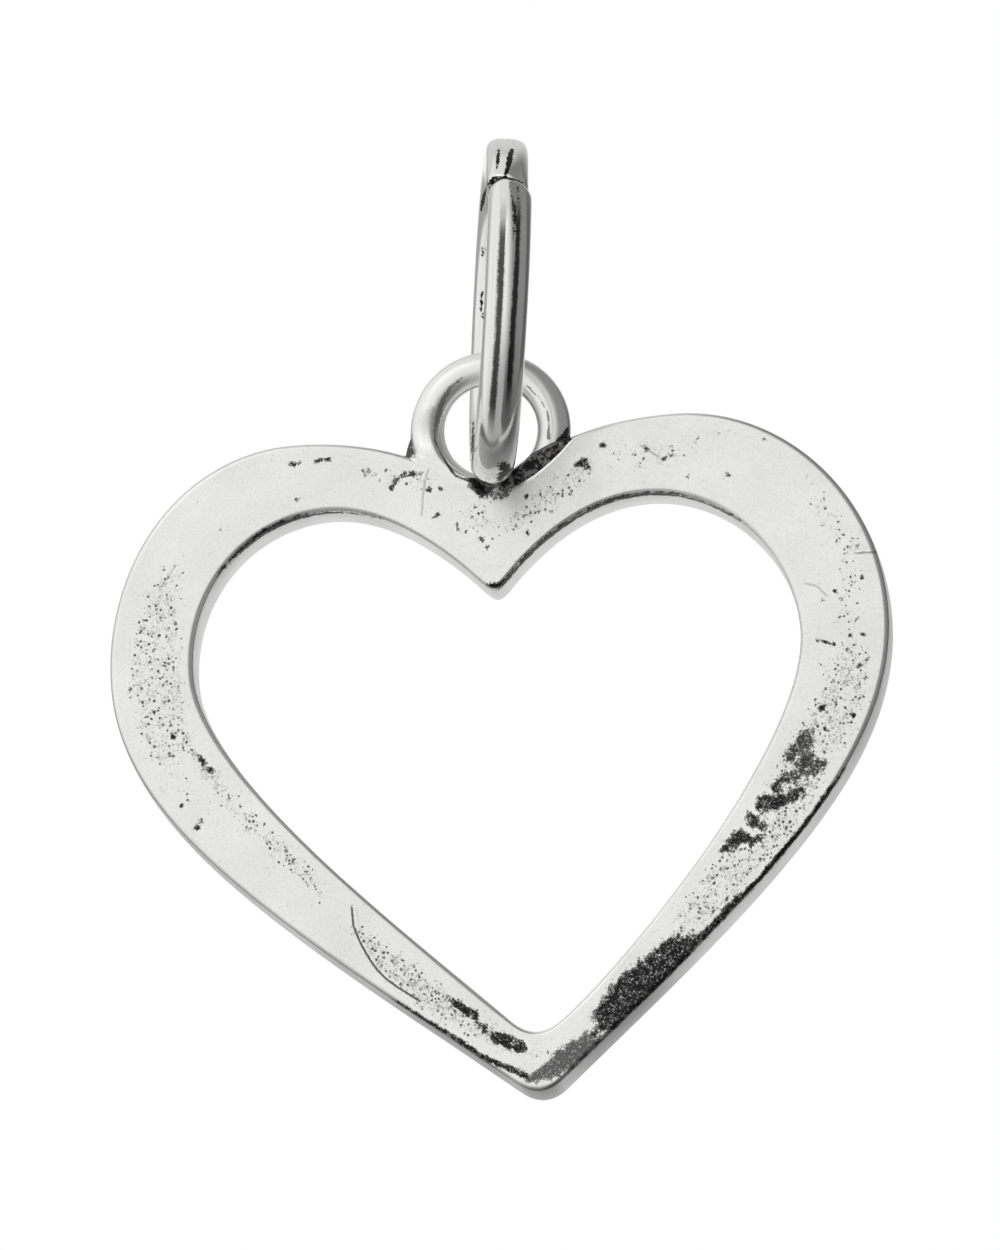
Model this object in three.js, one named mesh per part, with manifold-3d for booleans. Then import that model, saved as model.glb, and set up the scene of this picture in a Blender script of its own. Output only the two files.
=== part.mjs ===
// Open heart charm in cast silver: a heart-shaped frame with a wire eye soldered into its cleft and a
// cut jump ring through the eye. Millimetres, +Z up, front towards -Y. The origin is the top of the
// eye's hole, where the charm bears on whatever it hangs from.
import * as THREE from 'three';
import { mergeVertices } from 'three/addons/utils/BufferGeometryUtils.js';
import Module from 'manifold-3d';

// Heart frame, outer outline: heights are measured down from the top of the lobes
const HEART_WIDTH = 18.13;
const HEART_HEIGHT = 15.85; // to the point where the straight flanks would meet
const HEART_THICKNESS = 1.7;
const LOBE_SPREAD = 8.89; // between the tops of the two lobes
const WIDEST_DROP = 5.19;
const CLEFT_DROP = 1.56;
const CLEFT_RISE_DEG = 40; // slope at which the outline leaves the cleft
const TIP_RISE_DEG = 39.4; // slope at which the flanks leave the tip
const TIP_EASE = 0.7; // length of flank taken up by the rounding of the tip

// Heart frame, inner outline: the width of the band between the two outlines, and its own slopes
const BAND_SIDE = 2.06;
const BAND_TOP = 1.77;
const BAND_CLEFT = 2.41;
const BAND_TIP = 1.4;
const INNER_LOBE_SPREAD = 7.34;
const INNER_WIDEST_DROP = 5.3;
const INNER_CLEFT_RISE_DEG = 50;
const INNER_TIP_RISE_DEG = 42.2;
const INNER_TIP_EASE = 0.8;

// Heart frame, section
const FRONT_EDGE_RADIUS = 0.22;
const BACK_EDGE_RADIUS = 0.3;

// Heart frame, handwork: how far the right half departs from an even heart; the left half departs as
// far the other way
const LOBE_SLANT_DEG = -1.4; // the right lobe sits a little lower than the left one
const LOBE_SHIFT = 0.09; // top of the lobe, outwards
const WIDEST_LIFT = 0.26; // widest point, upwards
const BAND_SIDE_EXTRA = 0.07;
const BAND_TOP_EXTRA = 0.1;
const INNER_TIP_TURN_DEG = -4.3;
const EYE_SET_OVER = 0.23; // the eye stands this far right of the heart's centre line

// Eye in the cleft
const EYE_HOLE = 2.16;
const EYE_WIRE = 0.78;
const EYE_SINK = 0.22; // depth of the eye below the bottom of the cleft
const SEAT_GAP = 0.05; // soldering gap round the eye's wire
const SOLDER_CLIMB = 0.42; // height of the solder up the eye and along each lobe
const SOLDER_DEPTH = 0.64; // front to back
const SOLDER_FULLNESS = 0.3; // 0 for a face that is hollow down to the notch, 1 for a flat one

// Jump ring
const RING_DIAMETER = 8;
const RING_WIRE = 1.02;
const RING_CUT = 0.1; // width of the cut between the ends
const RING_END_OFFSET = 0.08; // sideways step from the rear end to the front end
const RING_CUT_AT_DEG = 51; // where the cut stands, from the ring's top towards the front, at rest
const RUN_GAP = 0.08; // between the ring and the eye's wire

// Pose of the ring at rest: fallen forward on its stop, a little askew in the eye
const RING_SWING_DEG = 69.8;
const RING_LEAN_DEG = 7.8;
const RING_TURN_DEG = 7.4;

// Shape factors of the outlines' curves, as shares of the curve's own reach
const LOBE_FULLNESS = 0.55;
const SHOULDER_PULL = 0.39;
const FLANK_PULL = 0.32; // from the widest point down
const TIP_PULL = 0.51; // from the tip up
const INNER_FLANK_PULL = 0.27;
const INNER_TIP_PULL = 0.29;

// Facets
const CURVE_STEPS = 16;
const TIP_STEPS = 3;
const CORNER_STEPS = 4;
const SOLDER_STEPS = 4;
const EYE_SIDES = 16;
const EYE_STEPS = 56;
const RING_SIDES = 16;
const RING_STEPS = 84;
const MERGE_DISTANCE = 1e-4;

const eyeRadius = (EYE_HOLE + EYE_WIRE) / 2;
const eyeOuterRadius = EYE_HOLE / 2 + EYE_WIRE;
const eyeCentreZ = -EYE_HOLE / 2;
const cleftZ = eyeCentreZ - eyeOuterRadius + EYE_SINK;
const lobeTopZ = cleftZ + CLEFT_DROP;

const silver = new THREE.MeshStandardMaterial({ color: 0xd9dadb, roughness: 0.22, metalness: 1 });
const wireSilver = new THREE.MeshStandardMaterial({ color: 0xdcdddd, roughness: 0.14, metalness: 1 });
const solderSilver = new THREE.MeshStandardMaterial({ color: 0x6f6f70, roughness: 0.5, metalness: 1 });

const radians = THREE.MathUtils.degToRad;
const wasm = await Module();
wasm.setup();

/** Closed solid of a three.js geometry, for joining and cutting. */
function solidOf(geometry) {
  const bare = geometry.clone();
  bare.deleteAttribute('normal');
  bare.deleteAttribute('uv');
  const merged = mergeVertices(bare, MERGE_DISTANCE);
  return new wasm.Manifold(new wasm.Mesh({
    numProp: 3,
    vertProperties: new Float32Array(merged.attributes.position.array),
    triVerts: new Uint32Array(merged.index.array),
  }));
}

/** Geometry of a solid after its cuts. */
function geometryOf(solid) {
  const mesh = solid.getMesh();
  const geometry = new THREE.BufferGeometry();
  geometry.setAttribute('position', new THREE.BufferAttribute(mesh.vertProperties, 3));
  geometry.setIndex(new THREE.BufferAttribute(mesh.triVerts, 1));
  geometry.computeVertexNormals();
  return geometry;
}

/** Half of a heart outline, as points from the cleft over the lobe and down the flank, for x above 0. */
function halfOutline({ cleft, cleftRise, lobe, side, flankPull, tip, tipRise, tipEase, tipPull }) {
  const start = new THREE.Vector2(0, cleft);
  const top = new THREE.Vector2(lobe.x, lobe.y);
  const widest = new THREE.Vector2(side.x, side.y);
  const point = new THREE.Vector2(0, tip);
  const rise = new THREE.Vector2(Math.cos(cleftRise), Math.sin(cleftRise));
  const flank = new THREE.Vector2(Math.cos(tipRise), Math.sin(tipRise));
  const flankEnd = point.clone().addScaledVector(flank, tipEase);
  const flankReach = widest.distanceTo(point);
  const curves = [
    new THREE.CubicBezierCurve(
      start,
      start.clone().addScaledVector(rise, SHOULDER_PULL * top.x),
      new THREE.Vector2(top.x * (1 - SHOULDER_PULL), top.y),
      top,
    ),
    new THREE.CubicBezierCurve(
      top,
      new THREE.Vector2(THREE.MathUtils.lerp(top.x, widest.x, LOBE_FULLNESS), top.y),
      new THREE.Vector2(widest.x, THREE.MathUtils.lerp(widest.y, top.y, LOBE_FULLNESS)),
      widest,
    ),
    new THREE.CubicBezierCurve(
      widest,
      new THREE.Vector2(widest.x, THREE.MathUtils.lerp(widest.y, tip, flankPull)),
      point.clone().addScaledVector(flank, tipPull * flankReach),
      flankEnd,
    ),
  ];
  return curves.flatMap((curve) => curve.getPoints(CURVE_STEPS).slice(0, -1)).concat(flankEnd);
}

/** Whole outline from its two halves: closed by a rounded tip, slanted and moved to the eye. */
function wholeOutline(rightHalf, leftHalf, tip) {
  const slant = Math.tan(radians(LOBE_SLANT_DEG));
  const left = leftHalf.slice(1).reverse().map((p) => new THREE.Vector2(-p.x, p.y));
  const rounding = new THREE.QuadraticBezierCurve(rightHalf.at(-1), new THREE.Vector2(0, tip), left[0]);
  const points = [...rightHalf, ...rounding.getPoints(2 * TIP_STEPS).slice(1, -1), ...left];
  return points.map((p) => new THREE.Vector2(p.x - EYE_SET_OVER, p.y + slant * p.x));
}

/** Outer and inner outlines of the heart, station by station. */
function heartOutlines() {
  const outerTip = lobeTopZ - HEART_HEIGHT;
  const innerTip = outerTip + BAND_TIP;
  const outerHalf = (side) => halfOutline({
    cleft: cleftZ,
    cleftRise: radians(CLEFT_RISE_DEG),
    lobe: { x: LOBE_SPREAD / 2 + side * LOBE_SHIFT, y: lobeTopZ },
    side: { x: HEART_WIDTH / 2, y: lobeTopZ - WIDEST_DROP + side * WIDEST_LIFT },
    flankPull: FLANK_PULL,
    tip: outerTip,
    tipRise: radians(TIP_RISE_DEG),
    tipEase: TIP_EASE,
    tipPull: TIP_PULL,
  });
  const innerHalf = (side) => halfOutline({
    cleft: cleftZ - BAND_CLEFT,
    cleftRise: radians(INNER_CLEFT_RISE_DEG),
    lobe: { x: INNER_LOBE_SPREAD / 2, y: lobeTopZ - BAND_TOP - side * BAND_TOP_EXTRA },
    side: { x: HEART_WIDTH / 2 - BAND_SIDE - side * BAND_SIDE_EXTRA, y: lobeTopZ - INNER_WIDEST_DROP },
    flankPull: INNER_FLANK_PULL,
    tip: innerTip,
    tipRise: radians(INNER_TIP_RISE_DEG + side * INNER_TIP_TURN_DEG),
    tipEase: INNER_TIP_EASE,
    tipPull: INNER_TIP_PULL,
  });
  return {
    outer: wholeOutline(outerHalf(1), outerHalf(-1), outerTip),
    inner: wholeOutline(innerHalf(1), innerHalf(-1), innerTip),
  };
}

/** Section of the band: a rectangle with rounded corners, across (u) and front to back (y). */
function bandSection(halfWidth) {
  const halfDepth = HEART_THICKNESS / 2;
  const corners = [
    { u: 1, y: -1, radius: FRONT_EDGE_RADIUS, from: -90 },
    { u: 1, y: 1, radius: BACK_EDGE_RADIUS, from: 0 },
    { u: -1, y: 1, radius: BACK_EDGE_RADIUS, from: 90 },
    { u: -1, y: -1, radius: FRONT_EDGE_RADIUS, from: 180 },
  ];
  return corners.flatMap(({ u, y, radius, from }) => {
    const steps = Array.from({ length: CORNER_STEPS + 1 }, (_, i) => i / CORNER_STEPS);
    return steps.map((share) => radians(from + 90 * share)).map((angle) => ({
      u: u * (halfWidth - radius) + radius * Math.cos(angle),
      y: y * (halfDepth - radius) + radius * Math.sin(angle),
    }));
  });
}

/** Heart-shaped band, lofted through a section at every station; grow pushes its outer side outwards. */
function heartGeometry(grow = 0) {
  const { outer, inner } = heartOutlines();
  const sections = outer.map((out, i) => {
    const across = out.clone().sub(inner[i]);
    const width = across.length() + grow;
    across.normalize();
    const middle = inner[i].clone().addScaledVector(across, width / 2);
    return bandSection(width / 2).map(({ u, y }) => [middle.x + u * across.x, y, middle.y + u * across.y]);
  });
  const count = sections[0].length;
  const index = [];
  sections.forEach((_, i) => {
    const here = i * count;
    const next = ((i + 1) % sections.length) * count;
    for (let k = 0; k < count; k += 1) {
      const after = (k + 1) % count;
      index.push(here + k, next + k, next + after);
      index.push(here + k, next + after, here + after);
    }
  });
  const geometry = new THREE.BufferGeometry();
  geometry.setAttribute('position', new THREE.Float32BufferAttribute(sections.flat(2), 3));
  geometry.setIndex(index);
  return geometry;
}

/** Ring of round wire standing in the heart's plane, at the eye's place. */
function eyeGeometry(grow = 0) {
  const geometry = new THREE.TorusGeometry(eyeRadius, EYE_WIRE / 2 + grow, EYE_SIDES, EYE_STEPS);
  geometry.rotateX(Math.PI / 2);
  geometry.translate(0, 0, eyeCentreZ);
  return geometry;
}

/** Solder in the notch between the eye and one lobe: a wedge with a hollow face, cut to both. */
function solderGeometry(side) {
  const eyeCentre = new THREE.Vector2(0, eyeCentreZ);
  const { outer } = heartOutlines();
  const lobe = outer.filter((p) => p.x * side >= 0 && p.y > lobeTopZ - WIDEST_DROP);
  lobe.sort((a, b) => a.distanceTo(eyeCentre) - b.distanceTo(eyeCentre));
  const beyond = lobe.findIndex((p) => p.distanceTo(eyeCentre) > eyeOuterRadius);
  const near = lobe[beyond - 1];
  const far = lobe[beyond];
  const nearReach = near.distanceTo(eyeCentre);
  const share = (eyeOuterRadius - nearReach) / (far.distanceTo(eyeCentre) - nearReach);
  const notch = near.clone().lerp(far, share);
  const alongLobe = far.clone().sub(near).normalize();
  const onLobe = notch.clone().addScaledVector(alongLobe, SOLDER_CLIMB);
  const onEye = notch.clone().rotateAround(eyeCentre, (side * SOLDER_CLIMB) / eyeOuterRadius);
  const hollow = notch.clone().lerp(onLobe.clone().lerp(onEye, 0.5), SOLDER_FULLNESS);
  const root = notch.clone().multiplyScalar(3).sub(onLobe).sub(onEye);
  const wedge = new THREE.Shape();
  wedge.moveTo(root.x, root.y);
  wedge.lineTo(onLobe.x, onLobe.y);
  wedge.quadraticCurveTo(hollow.x, hollow.y, onEye.x, onEye.y);
  wedge.closePath();
  const block = new THREE.ExtrudeGeometry(wedge, {
    depth: SOLDER_DEPTH,
    bevelEnabled: false,
    curveSegments: SOLDER_STEPS,
  });
  block.rotateX(Math.PI / 2);
  block.translate(0, SOLDER_DEPTH / 2, 0);
  const eye = solidOf(eyeGeometry(SEAT_GAP));
  const heart = solidOf(heartGeometry(SEAT_GAP));
  return geometryOf(solidOf(block).subtract(eye).subtract(heart));
}

/** Centre line of the jump ring: one turn from end to end, with a sideways step at the cut. */
class CutRingCurve extends THREE.Curve {
  getPoint(t, target = new THREE.Vector3()) {
    const radius = (RING_DIAMETER - RING_WIRE) / 2;
    const halfCut = RING_CUT / 2 / radius;
    const angle = THREE.MathUtils.lerp(halfCut, 2 * Math.PI - halfCut, t);
    return target.set(RING_END_OFFSET * (0.5 - t), -radius * Math.sin(angle), radius * Math.cos(angle));
  }
}

/** Jump ring about its own centre, with its cut at the top. */
function ringGeometry() {
  const section = new THREE.Shape().absarc(0, 0, RING_WIRE / 2, 0, 2 * Math.PI);
  return new THREE.ExtrudeGeometry(section, {
    steps: RING_STEPS,
    curveSegments: RING_SIDES / 2,
    extrudePath: new CutRingCurve(),
  });
}

const charm = new THREE.Group();

const seat = solidOf(eyeGeometry(SEAT_GAP));
const heart = new THREE.Mesh(geometryOf(solidOf(heartGeometry()).subtract(seat)), silver);
heart.name = 'heart_frame';
charm.add(heart);

const eye = new THREE.Mesh(eyeGeometry(), wireSilver);
eye.name = 'eyelet';
charm.add(eye);

for (const [name, side] of [['solder_fillet_left', -1], ['solder_fillet_right', 1]]) {
  const solder = new THREE.Mesh(solderGeometry(side), solderSilver);
  solder.name = name;
  charm.add(solder);
}

// The ring hangs on the wire at the top of the eye: lean along the eye, turn about the upright, swing
const lean = new THREE.Group();
lean.position.z = eyeCentreZ;
lean.rotation.y = radians(RING_LEAN_DEG);
const turn = new THREE.Group();
turn.position.z = eyeRadius;
turn.rotation.z = radians(RING_TURN_DEG);
const swing = new THREE.Group();
swing.rotation.x = radians(RING_SWING_DEG);
const ring = new THREE.Mesh(ringGeometry(), wireSilver);
ring.name = 'jump_ring';
ring.position.z = RING_DIAMETER / 2 - RING_WIRE - EYE_WIRE / 2 - RUN_GAP;
ring.rotation.x = radians(RING_CUT_AT_DEG - RING_SWING_DEG);
swing.add(ring);
turn.add(swing);
lean.add(turn);
charm.add(lean);

export default charm;
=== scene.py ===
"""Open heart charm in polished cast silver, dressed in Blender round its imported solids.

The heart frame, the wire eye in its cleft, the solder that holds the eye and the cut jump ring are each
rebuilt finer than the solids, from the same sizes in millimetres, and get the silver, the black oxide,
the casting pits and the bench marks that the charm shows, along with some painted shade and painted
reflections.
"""
from __future__ import annotations

import logging
import math
from dataclasses import dataclass, field
from enum import Enum

import bpy
import numpy as np
from mathutils import Matrix, Vector

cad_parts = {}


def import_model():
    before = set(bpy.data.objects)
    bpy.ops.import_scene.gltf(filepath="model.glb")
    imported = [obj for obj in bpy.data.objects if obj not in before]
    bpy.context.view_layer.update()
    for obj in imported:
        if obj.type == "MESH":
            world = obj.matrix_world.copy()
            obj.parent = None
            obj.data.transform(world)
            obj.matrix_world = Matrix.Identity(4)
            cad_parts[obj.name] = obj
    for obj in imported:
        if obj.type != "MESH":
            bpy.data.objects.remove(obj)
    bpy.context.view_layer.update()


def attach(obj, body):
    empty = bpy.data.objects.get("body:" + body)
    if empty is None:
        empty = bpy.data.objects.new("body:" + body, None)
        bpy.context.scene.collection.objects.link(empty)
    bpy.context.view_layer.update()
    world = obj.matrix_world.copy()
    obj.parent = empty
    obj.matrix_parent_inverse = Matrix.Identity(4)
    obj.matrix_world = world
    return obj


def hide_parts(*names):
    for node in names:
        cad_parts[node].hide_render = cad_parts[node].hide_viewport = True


LOG = logging.getLogger("heart_charm")
MM = 0.001
# Setting of a Map Range node that eases both of its ends
SMOOTH = {"interpolation_type": "SMOOTHSTEP"}
# Values that the heart's net keeps for each point of the band's section
SECTION_VALUES = ("share_across", "share_deep", "share_front", "corner")
# Slow waviness of hand work: it sinks more than it rises, so that a piece keeps within its size
WAVE_SPAN = 2.0
WAVE_LOW = -1.7


class Body(Enum):
    """Moving bodies of the charm."""

    HEART = "heart"
    RING = "ring"


class Slot(Enum):
    """Material slots of the record."""

    CAST = "cast_silver"
    WIRE = "wire_silver"
    SOLDER = "solder"


class Side(Enum):
    """Halves of the heart, with the sign of x on each."""

    LEFT = -1
    RIGHT = 1


def linear(colour: str) -> tuple[float, float, float, float]:
    """Turn an sRGB hex colour to linear.

    Args:
        colour: Colour written as #RRGGBB.

    Returns:
        Linear red, green and blue, and an alpha of 1.
    """
    parts = [int(colour[i:i + 2], 16) / 255 for i in (1, 3, 5)]
    red, green, blue = [p / 12.92 if p <= 0.04045 else ((p + 0.055) / 1.055) ** 2.4 for p in parts]
    return red, green, blue, 1.0


def per_mm(size_mm: float) -> float:
    """Return the texture scale whose features are about this many millimetres across."""
    return 1.0 / (size_mm * MM)


def ease(share: np.ndarray) -> np.ndarray:
    """Return shares from 0 to 1 with a soft start and a soft end."""
    return share * share * (3.0 - 2.0 * share)


def add(tree: bpy.types.NodeTree, kind: str, *inputs: object, **named: object) -> bpy.types.Node:
    """Add a node with its settings and links.

    Each input is a socket, a node whose first output in use is meant, or a value.

    Args:
        tree: Node tree that gets the node.
        kind: Type name of the node, without ShaderNode where it starts with that.
        inputs: Inputs in use, in their order.
        named: Settings by their lower-case names, and inputs by their capitalised names, with _ for a space.

    Returns:
        The new node.
    """
    node = tree.nodes.new(kind if kind.startswith(("Geometry", "NodeGroup")) else "ShaderNode" + kind)
    for name, value in named.items():
        if name[0].islower():
            setattr(node, name, value)
    used = [socket for socket in node.inputs if socket.enabled]
    by_name = {socket.name.replace(" ", "_"): socket for socket in used}
    links = list(zip(used, inputs))
    links += [(by_name[name], value) for name, value in named.items() if name[0].isupper()]
    for socket, value in links:
        if isinstance(value, bpy.types.Node):
            value = next(output for output in value.outputs if output.enabled)
        if isinstance(value, bpy.types.NodeSocket):
            tree.links.new(value, socket)
        else:
            socket.default_value = value
    return node


def blank_material(name: str) -> bpy.types.Material:
    """Start a material that has no nodes yet.

    Args:
        name: Name of the material.

    Returns:
        The new material.
    """
    material = bpy.data.materials.new(name)
    material.use_nodes = True
    material.node_tree.nodes.clear()
    return material


def end_silver(tree: bpy.types.NodeTree, colour: bpy.types.Node, rough: bpy.types.Node,
               height: bpy.types.Node, relief_mm: float, strength: float) -> None:
    """End a silver finish with its relief and the metal's shader.

    Args:
        tree: Node tree of the finish.
        colour: Node that gives the colour.
        rough: Node that gives the roughness.
        height: Node that gives the relief.
        relief_mm: Depth of the relief, in millimetres.
        strength: Share of the relief that the light sees.
    """
    bump = add(tree, "Bump", Strength=strength, Distance=relief_mm * MM, Height=height)
    shader = add(tree, "BsdfPrincipled", Base_Color=colour, Metallic=1.0, Roughness=rough, Normal=bump)
    add(tree, "OutputMaterial", shader)


def rows_of(data: bpy.types.bpy_prop_collection, key: str) -> np.ndarray:
    """Read the vector of every item of a mesh's data.

    Args:
        data: Vertices, normals or values of an attribute.
        key: Name of the vector.

    Returns:
        One row for each item.
    """
    flat = np.empty(len(data) * 3)
    data.foreach_get(key, flat)
    return flat.reshape(-1, 3)


def points_of(mesh: bpy.types.Mesh) -> np.ndarray:
    """Return a mesh's vertices as rows of millimetres."""
    return rows_of(mesh.vertices, "co") / MM


def normals_of(mesh: bpy.types.Mesh) -> np.ndarray:
    """Return a mesh's vertex normals as rows."""
    return rows_of(mesh.vertex_normals, "vector")


def move_points(mesh: bpy.types.Mesh, points_mm: np.ndarray) -> None:
    """Set a mesh's vertices from rows of millimetres."""
    mesh.vertices.foreach_set("co", (points_mm * MM).ravel())
    mesh.update()


def store(mesh: bpy.types.Mesh, name: str, values: np.ndarray) -> None:
    """Store one value, or one vector, for each vertex under a name.

    Args:
        mesh: Mesh that keeps the values.
        name: Name that the material or the node tree reads.
        values: One row for each vertex.
    """
    kind, key = ("FLOAT_VECTOR", "vector") if values.ndim == 2 else ("FLOAT", "value")
    attribute = mesh.attributes.get(name) or mesh.attributes.new(name, kind, "POINT")
    attribute.data.foreach_set(key, np.ascontiguousarray(values, dtype=np.float32).ravel())


def show(name: str, mesh: bpy.types.Mesh) -> bpy.types.Object:
    """Put a mesh into the scene as a piece at the origin.

    Args:
        name: Name of the piece.
        mesh: Mesh that the piece shows.

    Returns:
        The new piece.
    """
    piece = bpy.data.objects.new(name, mesh)
    bpy.context.scene.collection.objects.link(piece)
    return piece


def start_tree(name: str, inputs: dict[str, tuple[str, ...]]) -> bpy.types.NodeTree:
    """Start a geometry node tree with its named inputs and its one output.

    Args:
        name: Name of the tree.
        inputs: Names of its sizes, by the kind of their sockets.

    Returns:
        The tree, which has no nodes yet.
    """
    tree = bpy.data.node_groups.new(name, "GeometryNodeTree")
    for kind, names in {"Geometry": ("Geometry",), **inputs, "Material": ("Finish",)}.items():
        for socket in names:
            tree.interface.new_socket(socket, in_out="INPUT", socket_type="NodeSocket" + kind)
    tree.interface.new_socket("Geometry", in_out="OUTPUT", socket_type="NodeSocketGeometry")
    return tree


def end_tree(tree: bpy.types.NodeTree, sizes: bpy.types.NodeOutputs, shape: bpy.types.Node) -> None:
    """End a geometry node tree with the waviness of hand work, smooth shading and the finish.

    Args:
        tree: Tree that is ended.
        sizes: Sockets of its named inputs.
        shape: Node that gives the plain shape.
    """
    place = add(tree, "GeometryNodeInputPosition")
    wave = add(tree, "TexNoise", place, sizes["Seed"], sizes["Uneven Scale"], Detail=2.0, Roughness=0.4,
               noise_dimensions="4D")
    swing = add(tree, "Math", wave, WAVE_SPAN, WAVE_LOW, operation="MULTIPLY_ADD")
    rise = add(tree, "Math", swing, sizes["Uneven"], operation="MULTIPLY")
    push = add(tree, "VectorMath", add(tree, "GeometryNodeInputNormal"), rise, operation="SCALE")
    wavy = add(tree, "GeometryNodeSetPosition", shape, Offset=push)
    smooth = add(tree, "GeometryNodeSetShadeSmooth", wavy)
    real = add(tree, "GeometryNodeRealizeInstances", smooth)
    dressed = add(tree, "GeometryNodeSetMaterial", real, Material=sizes["Finish"])
    add(tree, "NodeGroupOutput", dressed)


def run_tree(piece: bpy.types.Object, tree: bpy.types.NodeTree, sizes: dict) -> None:
    """Build a piece with a geometry node tree and keep the result as its plain mesh.

    Args:
        piece: Object that the tree works on.
        tree: Tree to run.
        sizes: Value of each named input of the tree.
    """
    modifier = piece.modifiers.new(tree.name, "NODES")
    modifier.node_group = tree
    for item in tree.interface.items_tree:
        if item.in_out == "INPUT" and item.name in sizes:
            modifier[item.identifier] = sizes[item.name]
    graph = bpy.context.evaluated_depsgraph_get()
    built = piece.evaluated_get(graph)
    made = bpy.data.meshes.new_from_object(built, preserve_all_data_layers=True, depsgraph=graph)
    piece.modifiers.remove(modifier)
    old = piece.data
    piece.data = made
    made.name = piece.name
    bpy.data.meshes.remove(old)


@dataclass(frozen=True)
class PhotoView:
    """Camera of the photo, found by laying the solids over it; lengths in millimetres and photo pixels."""

    azimuth_deg: float = 4.0
    elevation_deg: float = -12.0
    roll_deg: float = 5.35
    distance: float = 400.0
    pixels_per_mm: float = 43.17
    pivot: tuple[float, float, float] = (0.0, 0.0, -1.08)
    pivot_px: tuple[float, float] = (491.0, 430.6)
    frame_px: tuple[int, int] = (1000, 1250)
    sensor: float = 36.0
    clip_m: tuple[float, float] = (0.01, 20.0)

    def axes(self) -> tuple[np.ndarray, np.ndarray, np.ndarray]:
        """Work out the directions of the picture.

        Returns:
            The picture's right, its up and the direction towards the camera.
        """
        azimuth, elevation, roll = np.radians((self.azimuth_deg, self.elevation_deg, self.roll_deg))
        back = np.array((
            math.sin(azimuth) * math.cos(elevation),
            -math.cos(azimuth) * math.cos(elevation),
            math.sin(elevation),
        ))
        level = np.array((math.cos(azimuth), math.sin(azimuth), 0.0))
        upright = np.cross(back, level)
        right = math.cos(roll) * level - math.sin(roll) * upright
        up = math.sin(roll) * level + math.cos(roll) * upright
        return right, up, back

    def pixels(self, points_mm: np.ndarray) -> np.ndarray:
        """Find where points fall in the photo.

        Args:
            points_mm: Rows of x, y and z.

        Returns:
            Rows of x and y in photo pixels.
        """
        right, up, back = self.axes()
        offset = points_mm - np.array(self.pivot)
        near = self.pixels_per_mm / (1.0 - offset @ back / self.distance)
        return np.stack((
            self.pivot_px[0] + near * (offset @ right),
            self.pivot_px[1] - near * (offset @ up),
        ), axis=1)

    def make_camera(self) -> None:
        """Add the camera and make it the scene's own."""
        right, up, back = self.axes()
        wide, high = self.frame_px
        place = np.array(self.pivot) + back * self.distance
        aim = np.array(self.pivot)
        aim = aim + right * (wide / 2 - self.pivot_px[0]) / self.pixels_per_mm
        aim = aim - up * (high / 2 - self.pivot_px[1]) / self.pixels_per_mm
        axis_z = (place - aim) / np.linalg.norm(place - aim)
        axis_x = np.cross(up, axis_z)
        axis_x = axis_x / np.linalg.norm(axis_x)
        axis_y = np.cross(axis_z, axis_x)
        data = bpy.data.cameras.new("photo_camera")
        data.sensor_fit = "VERTICAL"
        data.sensor_height = self.sensor
        data.lens = self.sensor * self.distance * self.pixels_per_mm / high
        data.clip_start, data.clip_end = self.clip_m
        camera = bpy.data.objects.new("photo_camera", data)
        turn = Matrix((axis_x, axis_y, axis_z)).transposed().to_4x4()
        camera.matrix_world = Matrix.Translation(Vector(place * MM)) @ turn
        bpy.context.scene.collection.objects.link(camera)
        bpy.context.scene.camera = camera


@dataclass(frozen=True)
class OxideAndShadePath:
    """Oxide along a path; some paths carry painted shade and painted reflections instead.

    Attributes:
        path: Points of x, y and half width, in photo pixels.
        fill: 1 if it is solid, and less where silver shows through.
        sunk: How deep it is sunk into the piece, in millimetres.
        soft: Width of its ragged edge, in photo pixels.
        tone: 1 if it is black, and less if it is grey.
        deeper: How much further back it reaches than the piece's other marks, in millimetres.
    """

    path: tuple[tuple[float, float, float], ...]
    fill: float = 1.0
    sunk: float = 0.0
    soft: float = 4.0
    tone: float = 1.0
    deeper: float = 0.0


@dataclass(frozen=True)
class PitField:
    """Stretch of fine casting pits along a path: x, y and half width in photo pixels."""

    path: tuple[tuple[float, float, float], ...]
    density: float = 0.5


@dataclass(frozen=True)
class Scratch:
    """Fine dark line along a path: x and y in photo pixels; depth is 1 where it is black."""

    path: tuple[tuple[float, float], ...]
    depth: float = 0.5


def reach(places: np.ndarray, path: tuple[tuple[float, ...], ...]) -> tuple[np.ndarray, np.ndarray]:
    """Measure how far places lie from a path.

    Args:
        places: Rows of x and y in photo pixels.
        path: Points of x, y and, where the path has a width, half width.

    Returns:
        The distance from the path's edge, and the signed distance across its nearest stretch.
    """
    knots = [np.array(knot[:2], dtype=float) for knot in path]
    halves = [knot[2] if len(knot) > 2 else 0.0 for knot in path]
    if len(knots) == 1:
        away = np.linalg.norm(places - knots[0], axis=1)
        return away - halves[0], away
    best = np.full(len(places), np.inf)
    across = np.zeros(len(places))
    for start, end, half_start, half_end in zip(knots, knots[1:], halves, halves[1:]):
        along = end - start
        share = np.clip((places - start) @ along / (along @ along), 0.0, 1.0)
        offset = places - (start + share[:, None] * along)
        edge = np.linalg.norm(offset, axis=1) - (half_start + share * (half_end - half_start))
        nearer = edge < best
        best = np.where(nearer, edge, best)
        side = (along[0] * offset[:, 1] - along[1] * offset[:, 0]) / np.linalg.norm(along)
        across = np.where(nearer, side, across)
    return best, across


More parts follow.
